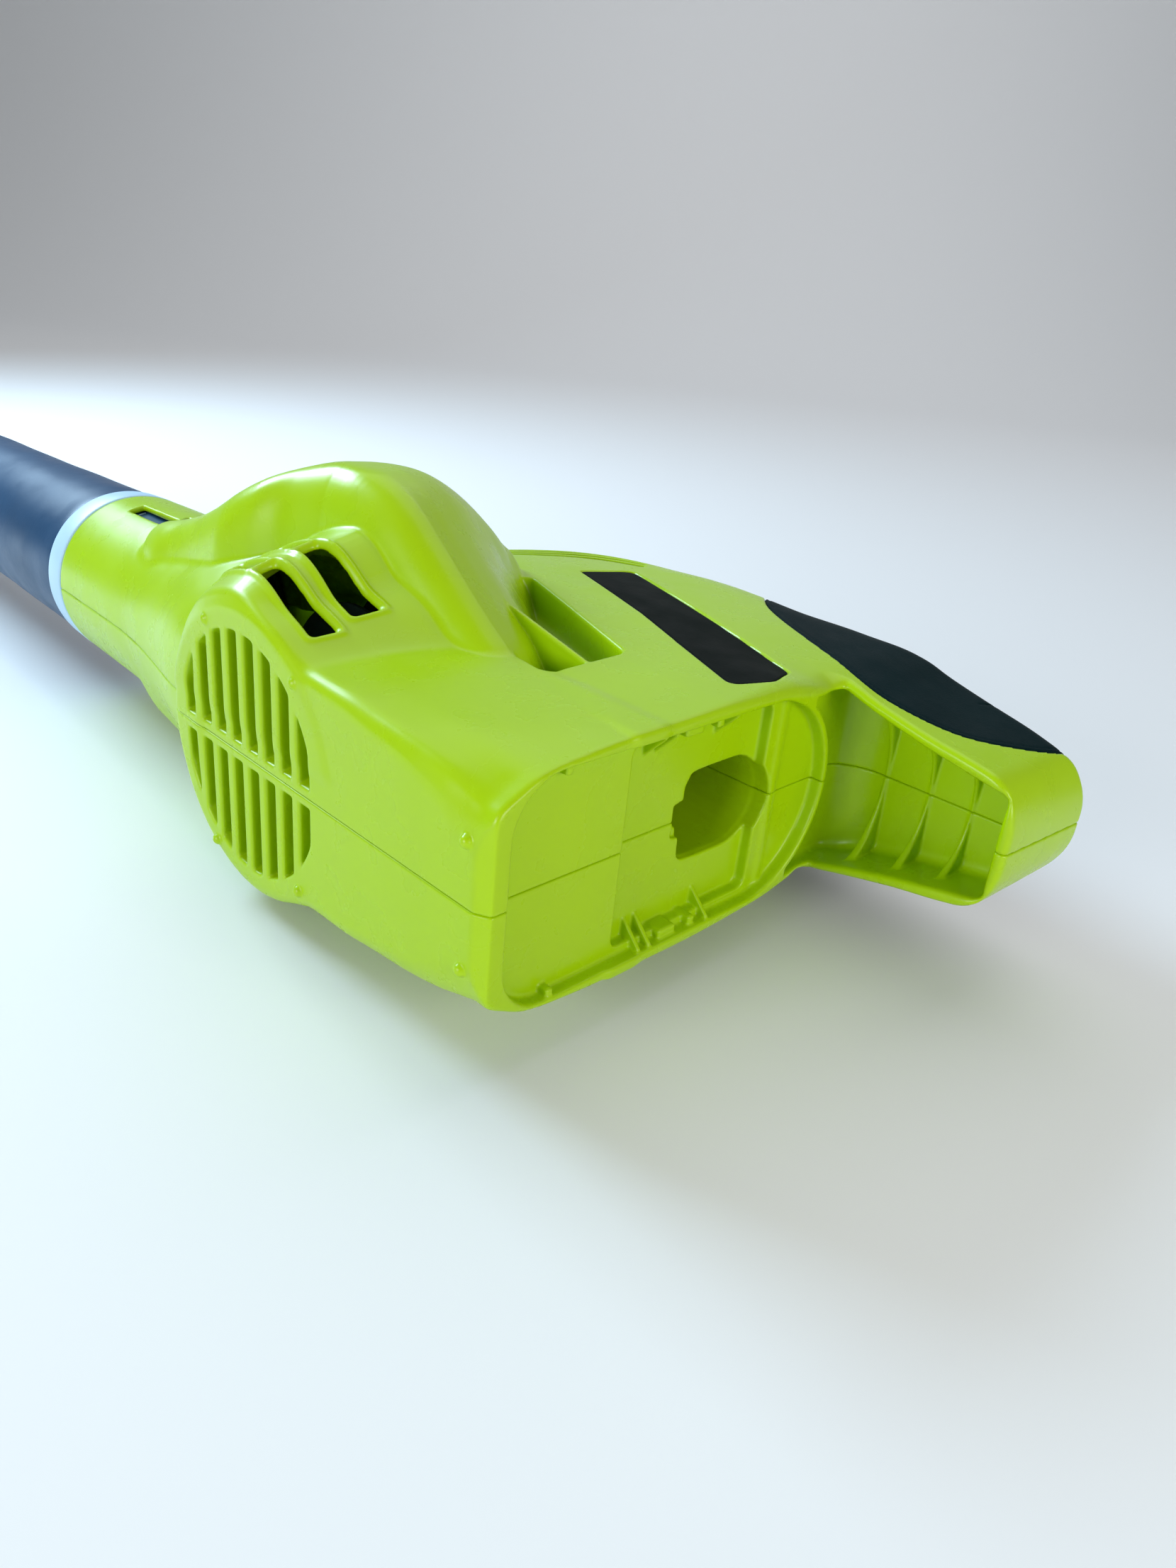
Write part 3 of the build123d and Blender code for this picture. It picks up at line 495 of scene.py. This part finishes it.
def domes_f(x, ya, z):
    d = None
    for cx, cy in DOMES:
        q = np.sqrt((x - cx) ** 2 + (ya - cy) ** 2 + ((z - F(0.2)) * F(1.05)) ** 2) - F(2.05)
        d = q if d is None else np.minimum(d, q)
    return d


WIN_DIR = (math.cos(math.radians(14)), -math.sin(math.radians(14)))


def collar_window(x, y, z):
    t = (y * -WIN_DIR[1] + (z - DUCT_Z) * WIN_DIR[0])      # along the circumference
    n = (y * WIN_DIR[0] + (z - DUCT_Z) * WIN_DIR[1])       # outwards
    w = smax(np.abs(x - F(285)) - F(16.9), np.abs(t) - F(3.1) - F(0.10) * np.maximum(n - 36, 0), F(0.6))
    w = smax(w, 30 - n, 0.5)
    # flat-sided scoop behind the window
    s = smax(np.abs(x - F(256)) - F(9.5) - F(0.5) * (t - 1), np.abs(t - F(3.0)) - F(5.5), F(0.8))
    s = smax(s, F(37.9) + F(0.10) * np.maximum(256 - x, 0) - n, F(0.6))
    return np.minimum(w, s)


def form(x, y, z, side, box):
    """The closed outer form of one side."""
    ya = y * side
    d = smin(slab_f(x, ya, z), upper_f(x, ya, z), F(2.0))
    if side > 0 and near_box(box, (30, 20, 50), (150, 60, 140)):
        pk = smax(POCKET(x, z), F(27.0) - ya, F(4.0))
        d = smax(d, -pk, F(1.4))
    d = smin(d, collar_f(x, y, z), F(8.0))
    if side > 0:
        if near_box(box, (60, 10, -4), (190, 75, 56)):
            fl = flare_f(x, y, z)
            if near_box(box, (80, 20, 4), (170, 75, 44)):
                wf = windows_f(x, y, z)
                rim = np.clip(1 - np.abs(wf - F(1.5)) / F(1.9), 0, 1)
                fl = fl - F(0.9) * rim * rim * (3 - 2 * rim)
            d = smin(d, fl, F(2.0))
        d = smin(d, scroll_f(x, y, z), F(1.4))
        if near_box(box, (40, 25, 70), (105, 60, 92)):
            fin = smax(np.abs(z - F(80.4)) - F(1.0), (ya - (F(40.3) + F(0.225) * (x - 45))), F(0.9))
            fin = smax(fin, smax(44.0 - x, x - 104, 1), 1)
            d = smin(d, fin, F(0.7))
        d = smax(d, y - F(84.9), F(1.5))
    else:
        d = smin(d, scroll_right_f(x, y, z), F(7.0))
        d = smax(d, -y - F(56.5), F(1.5))
    return d


def slider_bed(x, y, z):
    """The recess the power slider runs in, on the handle's top."""
    return smax(smax(F(73.0) - x, x - F(113.0), 1), smax(np.abs(y) - F(9.0), F(225.0) - z, 1), F(1.0))


def housing(side):
    def field(x, y, z, box):
        ya = y * side
        outer = form(x, y, z, side, box)
        d = outer
        # hollow inside
        inner = outer + F(2.6)
        solid = smax(x - F(14.5), z - F(180.0), F(2))
        inner = smax(inner, -solid, F(2))
        if box is None or box[0][2] < 16:
            bars = smax(np.hypot(x - AXIS_X, y) - 44, z - 15, 1)
            inner = smax(inner, -bars, F(1.0))
        d = smax(d, -inner, F(0.8))
        if near_box(box, (60, -50, -4), (170, 50, 18)):
            g = smax(grille_f(x, y, z, ya), z - 40, 2)
            d = smax(d, -g, F(0.7))
        if near_box(box, (-12, -45, 0), (16, 45, 160)):
            d = smax(d, -port_f(x, ya, z), F(1.3))
            d = smin(d, port_ribs(x, y, z, side), F(0.4))
        if near_box(box, (-12, -20, 78), (50, 20, 130)):
            wall = smax(smax(DHOLE(ya, z) - F(2.2), x - 45, 1), 6 - x, 1)
            d = np.minimum(d, wall)
            d = smax(d, -port_left_right(x, y, z), F(0.8))
            rib = np.maximum(np.maximum(np.abs(y - F(0.4)) - F(0.8), z - F(87.2)), np.maximum(F(9.0) - x, F(80) - z))
            d = np.minimum(d, np.maximum(rib, x - 43))
        if near_box(box, (70, -12, 215), (116, 12, 240)):
            d = smax(d, -slider_bed(x, y, z), F(0.6))
        if near_box(box, (-70, -40, 145), (-4, 40, 182)):
            d = smax(d, -tail_hollow(x, y, ya, z), F(2.2))
        if near_box(box, (225, -45, 15), (330, 45, 105)):
            d = smax(d, -bore_f(x, y, z), F(0.8))
        if side > 0:
            if near_box(box, (70, 20, -5), (175, 75, 62)):
                wf = smax(windows_f(x, y, z), 40 - np.hypot(x - AXIS_X, y), F(1))
                d = smax(d, -wf, F(1.6))
            if near_box(box, (235, 20, 30), (310, 50, 70)):
                d = smax(d, -collar_window(x, y, z), F(0.8))
            if near_box(box, (0, 20, 100), (140, 50, 190)):
                b = smax(BADGE(x, z), -(outer + F(0.9)), F(0.4))
                d = smax(d, -b, F(0.5))
        if near_box(box, (-90, -45, 154), (95, 45, 240)):
            gb = smax(GRIP(x, z) - F(0.25), -(outer + F(1.6)), F(0.4))
            d = smax(d, -gb, F(0.5))
        if near_box(box, (120, -50, 150), (210, 50, 215)):
            vt = smax(vents_f(x, ya, z), -(outer + F(4.0)), F(0.5))
            d = smax(d, -vt, F(1.1))
        if near_box(box, (-2, -45, -4), (145, 45, 4)):
            d = smin(d, domes_f(x, ya, z), F(0.35))
        # parting face
        return smax(d, F(0.07) - ya, F(0.45))
    return field


def body_any(x, y, z, box):
    left = form(x, y, z, 1, box)
    right = form(x, y, z, -1, box)
    return np.where(y >= 0, left, right)


def grip_f(x, y, z, box):
    outer = upper_f(x, np.abs(y), z)
    d = smax(outer, GRIP(x, z), F(1.4))
    seam = np.abs(GRIP(x, z) + F(1.9)) - F(0.22)           # fine step just inside the edge
    d = smax(d, -smax(seam, -(outer + F(0.35)), F(0.1)), F(0.3))
    end = np.abs(np.hypot(x + F(64), (z - F(186)) * F(0.9)) - F(33)) - F(0.3)
    end = smax(end, -(outer + F(0.5)), F(0.1))
    end = smax(end, F(196) - z, F(0.5))
    d = smax(d, -end, F(0.3))
    d = smax(d, -slider_bed(x, y, z), F(0.6))
    return smax(d, -(outer + F(1.5)), F(0.4))


def badge_f(x, y, z, box):
    outer = upper_f(x, np.abs(y), z)
    d = smax(outer + F(0.35), BADGE(x, z) + F(0.3), F(0.5))
    return smax(d, -(outer + F(1.7)), F(0.3))


VOX = 0.55
pieces = {}
left = field_mesh("left_shell", housing(1), (-80, -1.5, -5), (326, 90, 232), VOX)
right = field_mesh("right_shell", housing(-1), (-80, -62, -5), (326, 1.5, 232), VOX)
grip = field_mesh("rubber_grip", grip_f, (-82, -46, 152), (96, 46, 232), VOX)
badge = field_mesh("badge_insert", badge_f, (0, 20, 100), (140, 50, 192), VOX * 0.8)


# ------------------------------------------------------------------ materials
def new_mat(name, base, rough=0.45, spec=0.5, coat=0.0, coat_rough=0.2, sheen=0.0, metallic=0.0, grain=0.0, grain_scale=900.0, mottle=0.06,
            mottle_scale=18.0, rough_var=0.06, wave=None):
    m = bpy.data.materials.new(name)
    m.use_nodes = True
    nt = m.node_tree
    nt.nodes.clear()
    out = nt.nodes.new("ShaderNodeOutputMaterial")
    bs = nt.nodes.new("ShaderNodeBsdfPrincipled")
    nt.links.new(bs.outputs[0], out.inputs[0])
    bs.inputs["Metallic"].default_value = metallic
    bs.inputs["Specular IOR Level"].default_value = spec
    bs.inputs["Coat Weight"].default_value = coat
    bs.inputs["Coat Roughness"].default_value = coat_rough
    bs.inputs["Sheen Weight"].default_value = sheen
    tc = nt.nodes.new("ShaderNodeTexCoord")
    n1 = nt.nodes.new("ShaderNodeTexNoise")
    n1.inputs["Scale"].default_value = mottle_scale
    n1.inputs["Detail"].default_value = 4.0
    nt.links.new(tc.outputs["Object"], n1.inputs["Vector"])
    ramp = nt.nodes.new("ShaderNodeMapRange")
    ramp.inputs["From Min"].default_value = 0.3
    ramp.inputs["From Max"].default_value = 0.7
    ramp.inputs["To Min"].default_value = 1 - mottle
    ramp.inputs["To Max"].default_value = 1 + mottle
    nt.links.new(n1.outputs["Fac"], ramp.inputs["Value"])
    mul = nt.nodes.new("ShaderNodeVectorMath")
    mul.operation = "SCALE"
    mul.inputs[0].default_value = base[:3]
    nt.links.new(ramp.outputs[0], mul.inputs["Scale"])
    nt.links.new(mul.outputs[0], bs.inputs["Base Color"])
    n2 = nt.nodes.new("ShaderNodeTexNoise")
    n2.inputs["Scale"].default_value = 60.0
    n2.inputs["Detail"].default_value = 5.0
    nt.links.new(tc.outputs["Object"], n2.inputs["Vector"])
    r2 = nt.nodes.new("ShaderNodeMapRange")
    r2.inputs["From Min"].default_value = 0.3
    r2.inputs["From Max"].default_value = 0.7
    r2.inputs["To Min"].default_value = max(rough - rough_var, 0.02)
    r2.inputs["To Max"].default_value = min(rough + rough_var, 1)
    nt.links.new(n2.outputs["Fac"], r2.inputs["Value"])
    nt.links.new(r2.outputs[0], bs.inputs["Roughness"])
    if grain > 0:
        v = nt.nodes.new("ShaderNodeTexNoise")
        v.inputs["Scale"].default_value = grain_scale
        v.inputs["Detail"].default_value = 3.0
        v.inputs["Roughness"].default_value = 0.6
        nt.links.new(tc.outputs["Object"], v.inputs["Vector"])
        b = nt.nodes.new("ShaderNodeBump")
        b.inputs["Strength"].default_value = grain
        b.inputs["Distance"].default_value = 0.0004
        nt.links.new(v.outputs["Fac"], b.inputs["Height"])
        nt.links.new(b.outputs[0], bs.inputs["Normal"])
    return m


GREEN = (0.36, 0.62, 0.0)
M = {
    "shell": new_mat("lime_shell", (0.350, 0.565, 0.0), rough=0.29, spec=0.36, grain=0.04, grain_scale=1500, mottle=0.025),
    "rubber": new_mat("grip_rubber_soft", (0.001, 0.011, 0.013), rough=0.55, spec=0.045, grain=0.4, grain_scale=1500, mottle=0.15),
    "badge": new_mat("badge_dark", (0.003, 0.006, 0.005), rough=0.5, spec=0.02, grain=0.10, grain_scale=800, mottle=0.1),
    "badge_line": new_mat("badge_line_grey", (0.14, 0.15, 0.16), rough=0.4, grain=0.1, mottle=0.05),
    "ring": new_mat("ring_pale", (0.42, 0.62, 0.80), rough=0.42, grain=0.2, mottle=0.04),
    "tube": new_mat("tube_slate", (0.014, 0.056, 0.125), rough=0.36, spec=0.20, grain=0.10, grain_scale=500, mottle=0.18, mottle_scale=9),
    "fan": new_mat("fan_dark", (0.010, 0.018, 0.024), rough=0.42, spec=0.3, grain=0.2, mottle=0.1),
    "steel": new_mat("steel_ground", (0.55, 0.56, 0.58), rough=0.28, metallic=1.0, grain=0.1, mottle=0.06),
    "zinc": new_mat("zinc_plate", (0.6, 0.61, 0.64), rough=0.34, metallic=1.0, grain=0.1, mottle=0.08),
    "can": new_mat("can_plate", (0.38, 0.39, 0.42), rough=0.36, metallic=1.0, grain=0.1, mottle=0.06),
    "ferrite": new_mat("ferrite_dark", (0.04, 0.04, 0.045), rough=0.7, grain=0.4, mottle=0.15),
    "lams": new_mat("lamination_steel", (0.2, 0.2, 0.22), rough=0.5, metallic=0.8, grain=0.3, mottle=0.12),
    "copper": new_mat("copper_wire", (0.62, 0.25, 0.08), rough=0.32, metallic=0.9, grain=0.4, grain_scale=700, mottle=0.15),
    "carbon": new_mat("carbon_brush", (0.03, 0.03, 0.032), rough=0.6, grain=0.3, mottle=0.15),
    "nylon": new_mat("nylon_black", (0.018, 0.018, 0.02), rough=0.46, grain=0.3, mottle=0.12),
    "softblack": new_mat("rubber_black", (0.014, 0.014, 0.015), rough=0.72, grain=0.4, mottle=0.15),
    "brass": new_mat("contact_brass_plate", (0.72, 0.55, 0.26), rough=0.3, metallic=1.0, grain=0.1, mottle=0.08),
    "red": new_mat("lead_red_skin", (0.42, 0.012, 0.01), rough=0.42, grain=0.15, mottle=0.08),
    "black": new_mat("lead_black_skin", (0.012, 0.012, 0.013), rough=0.42, grain=0.15, mottle=0.08),
}
SLOT_MAT = {"shell_green": "shell", "grip_rubber": "rubber", "badge_black": "badge", "ring_grey": "ring", "tube_dark": "tube", "fan_black": "fan", "steel": "steel", "zinc": "zinc",
            "motor_steel": "can", "ferrite": "ferrite", "laminations": "lams", "copper": "copper", "carbon": "carbon", "black_nylon": "nylon", "black_rubber": "softblack",
            "contact_brass": "brass", "lead_red": "red", "lead_black": "black"}
for sp in frame["record"]["subparts"]:
    ob = frame["nodes"].get(sp["node"])
    if ob is None:
        continue
    mat = M[SLOT_MAT[sp["material_slot"]]]
    if not ob.material_slots:
        ob.data.materials.append(mat)
    for s in ob.material_slots:
        s.material = mat


def give(ob, mat, body, slot, *nodes):
    ob.data.materials.clear()
    ob.data.materials.append(M[mat])
    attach(ob, body)
    if nodes:
        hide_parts(*nodes)


give(left, "shell", "housing", "shell_green", "left_housing")
give(right, "shell", "housing", "shell_green", "right_housing")
give(grip, "rubber", "housing", "grip_rubber", "grip_cover")
give(badge, "badge", "housing", "badge_black", "badge_plate")


# ------------------------------------------------------------------ tube, ring and nozzle
def lathe(name, prof, segs=128, wobble=None, closed=True):
    """Turned about the tube's axis: prof is (x, r) points round a closed section."""
    prof = np.asarray(prof, float)
    n = len(prof)
    a = np.linspace(0, 2 * math.pi, segs, endpoint=False)
    P = np.zeros((segs, n, 3))
    for i, t in enumerate(a):
        r = prof[:, 1] + (wobble(prof[:, 0], t, prof[:, 1]) if wobble else 0)
        P[i, :, 0] = prof[:, 0]
        P[i, :, 1] = r * math.cos(t)
        P[i, :, 2] = DUCT_Z + r * math.sin(t)
    idx = lambda i, j: (i % segs) * n + (j % n)
    q = [(idx(i, j), idx(i, j + 1), idx(i + 1, j + 1), idx(i + 1, j)) for i in range(segs) for j in range(n if closed else n - 1)]
    return mesh_object(name, P.reshape(-1, 3), q)


def densify(prof, step=4.0):
    out = []
    n = len(prof)
    for i in range(n):
        a, b = np.array(prof[i]), np.array(prof[(i + 1) % n])
        k = max(1, int(np.ceil(np.linalg.norm(b - a) / step)))
        for j in range(k):
            out.append(tuple(a + (b - a) * j / k))
    return out


def tube_wobble(x, t, r):
    w = 0.16 * np.sin(3 * t + x * 0.021) + 0.10 * np.sin(5 * t - x * 0.05) + 0.08 * np.sin(x * 0.11 + 2 * t)
    return np.where(x > 346, w, 0.0)


tube_prof = densify([(256.2, 36.0), (337.6, 36.0), (338.0, 36.6), (338.6, 37.05), (340, 37.15), (553, 33.4), (595.4, 32.6), (596, 32.2), (596, 30.6), (595.5, 30.2), (553, 31.0), (338, 33.6), (257, 33.6), (256.2, 34.0)])
tube = lathe("tube_body", tube_prof, 160, tube_wobble)
ring = lathe("collar_band", [(322.5, 36.4), (322.5, 38.2), (322.9, 38.6), (323.6, 38.75), (335.5, 38.25), (337.0, 37.9), (338.0, 37.3), (338.2, 36.6), (338.0, 36.2)], 160)


def oval_skin(name, rows_out, rows_in, segs=128):
    """Skin through ovals: x, half height, half width, blended from round to flat."""
    def flow(rows):
        rows = np.asarray(rows, float)
        x0, x1 = rows[3, 0], rows[-3, 0]
        xs = np.arange(x0, x1, 4.0)
        f = np.stack([np.interp(xs, rows[:, 0], rows[:, 1]), np.interp(xs, rows[:, 0], rows[:, 2])], 1)
        for _ in range(10):
            f[1:-1] = 0.25 * f[:-2] + 0.5 * f[1:-1] + 0.25 * f[2:]
        return np.vstack([rows[:3], np.column_stack([xs, f]), rows[-3:]])
    ro, ri = flow(rows_out), flow(rows_in)
    seq = np.vstack([ro, ri[::-1]])
    n = len(seq)
    P = np.zeros((n, segs, 3))
    for i, (x, b, a) in enumerate(seq):
        t = np.linspace(0, 2 * math.pi, segs, endpoint=False)
        flat = np.clip((x - 596) / 200, 0, 1)
        e = 1.0 - 0.28 * flat                     # squarer towards the mouth
        c, s = np.cos(t), np.sin(t)
        P[i, :, 0] = x
        P[i, :, 1] = a * np.sign(c) * np.abs(c) ** e
        P[i, :, 2] = DUCT_Z + b * np.sign(s) * np.abs(s) ** e
    q = []
    for i in range(n):
        for j in range(segs):
            q.append((i * segs + j, i * segs + (j + 1) % segs, ((i + 1) % n) * segs + (j + 1) % segs, ((i + 1) % n) * segs + j))
    return mesh_object(name, P.reshape(-1, 3), q)


nozzle = oval_skin("flat_nozzle",
                   [(582, 34.2, 34.2), (583, 35.0, 35.0), (588, 35.1, 35.1), (616, 34.6, 34.8), (716, 27, 42), (816, 17.5, 52.6), (856, 15.4, 54.6), (859, 15.3, 54.7), (860, 14.9, 54.3)],
                   [(582, 33.0, 33.0), (590, 32.9, 32.9), (596, 32.8, 32.8), (597, 30.6, 30.6), (640, 30.0, 33.0), (716, 24.8, 39.8), (816, 15.3, 50.4), (858, 13.2, 52.4), (860, 13.4, 52.8)])


def box_piece(name, x0, x1, half_t, n0, n1, bev):
    """A block lying on the duct, square to the tab's direction, edges rounded."""
    bm = bmesh.new()
    bmesh.ops.create_cube(bm, size=1.0)
    for v in bm.verts:
        x = (x0 + x1) / 2 + v.co.x * (x1 - x0)
        t = v.co.y * 2 * half_t
        n = (n0 + n1) / 2 + v.co.z * (n1 - n0)
        y = n * WIN_DIR[0] - t * WIN_DIR[1]
        z = DUCT_Z + n * WIN_DIR[1] + t * WIN_DIR[0]
        v.co = Vector(((x - AXIS_X) / 1000, -z / 1000, y / 1000))
    if bev:
        bmesh.ops.bevel(bm, geom=list(bm.edges), offset=bev / 1000, segments=3, profile=0.5, affect="EDGES")
    bmesh.ops.recalc_face_normals(bm, faces=bm.faces)
    me = bpy.data.meshes.new(name)
    bm.to_mesh(me)
    bm.free()
    for p in me.polygons:
        p.use_smooth = bool(bev)
    ob = bpy.data.objects.new(name, me)
    bpy.context.scene.collection.objects.link(ob)
    return ob


def cut(ob, tool):
    m = ob.modifiers.new("cut", "BOOLEAN")
    m.operation = "DIFFERENCE"
    m.solver = "EXACT"
    m.object = tool
    bpy.context.view_layer.update()
    me = bpy.data.meshes.new_from_object(ob.evaluated_get(bpy.context.evaluated_depsgraph_get()))
    ob.modifiers.clear()
    ob.data = me
    bpy.data.objects.remove(tool)


cut(tube, box_piece("tool", 268.7, 301.3, 2.8, 28, 40, 0))
tab = box_piece("latch_tab", 269.1, 300.9, 2.4, 33.45, 35.85, 0.45)
tab.data.materials.append(M["ring"])
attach(tab, "tube_release")
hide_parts("release_tab")
give(tube, "tube", "tube", "tube_dark", "blow_tube")
give(ring, "ring", "tube", "ring_grey", "collar_ring")
give(nozzle, "tube", "tube", "tube_dark", "nozzle_tip")

# ------------------------------------------------------------------ camera, floor and light
cam_data = bpy.data.cameras.new("camera")
cam = bpy.data.objects.new("camera", cam_data)
bpy.context.scene.collection.objects.link(cam)
right_v = Vector((-0.6962, -0.7117, 0.0937))
down_v = Vector((-0.3633, 0.2368, -0.9010))
fwd_v = Vector((0.6192, -0.6614, -0.4234))
fwd_v.normalize()
right_v = (right_v - fwd_v * right_v.dot(fwd_v)).normalized()
up_v = right_v.cross(fwd_v).normalized()
if up_v.dot(-down_v) < 0:
    up_v = -up_v
rot = Matrix((right_v, up_v, -fwd_v)).transposed()
cam.matrix_world = Matrix.Translation(Vector((-0.2971, 0.1551, 0.1507))) @ rot.to_4x4()
cam_data.lens = 1534.0 / 2212.0 * 36.0
cam_data.sensor_width = 36.0
cam_data.sensor_fit = "AUTO"
cam_data.clip_start = 0.01
bpy.context.scene.camera = cam

lo_z = CAD_BOX[0][2]
hv = Vector((fwd_v.x, fwd_v.y, 0)).normalized()
sv = Vector((-hv.y, hv.x, 0))
prof = [(-5.0, 0.0), (2.2, 0.0)] + [(2.2 + 1.4 * math.sin(t), 1.4 - 1.4 * math.cos(t)) for t in np.linspace(0, math.pi / 2, 24)[1:]] + [(3.6, 5.0)]
fv, ff = [], []
for i, (a_, h_) in enumerate(prof):
    for w_ in (-6.0, 6.0):
        q = hv * a_ + sv * w_
        fv.append((q.x, q.y, lo_z + h_))
    if i:
        ff.append((2 * i - 2, 2 * i - 1, 2 * i + 1, 2 * i))
floor_me = bpy.data.meshes.new("floor")
floor_me.from_pydata(fv, [], ff)
for p in floor_me.polygons:
    p.use_smooth = True
floor = bpy.data.objects.new("floor", floor_me)
bpy.context.scene.collection.objects.link(floor)
fm = bpy.data.materials.new("floor_pale")
fm.use_nodes = True
fb = fm.node_tree.nodes["Principled BSDF"]
fb.inputs["Base Color"].default_value = (0.80, 0.81, 0.82, 1)
fb.inputs["Roughness"].default_value = 0.75
floor_me.materials.append(fm)


def area(name, loc, target, size, power, color=(1, 1, 1)):
    d = bpy.data.lights.new(name, "AREA")
    d.shape = "RECTANGLE"
    d.size, d.size_y = size
    d.energy = power
    d.color = color
    o = bpy.data.objects.new(name, d)
    bpy.context.scene.collection.objects.link(o)
    o.location = loc
    o.rotation_euler = (Vector(target) - Vector(loc)).to_track_quat("-Z", "Y").to_euler()
    return o


area("window", (1.12, 0.14, 0.74), (0.05, -0.08, 0.0), (0.62, 0.36), 19, (0.60, 0.82, 1.0))
area("left_soft", (-0.1, 1.40, 0.42), (-0.05, -0.05, 0.0), (0.9, 0.5), 12, (0.95, 0.98, 1.0))
area("back_soft", (-1.4, 0.0, 0.42), (-0.05, -0.1, 0.0), (0.8, 0.6), 10.0, (1.0, 0.98, 0.90))
area("sky", (0.9, -1.6, 2.3), (0.9, -1.6, 0.0), (3.0, 3.0), 34, (0.97, 0.98, 1.0))
w = bpy.data.worlds.new("world")
bpy.context.scene.world = w
w.use_nodes = True
w.node_tree.nodes["Background"].inputs[0].default_value = (0.92, 0.96, 1.0, 1)
w.node_tree.nodes["Background"].inputs[1].default_value = 0.18
bpy.context.scene.view_settings.view_transform = "Standard"
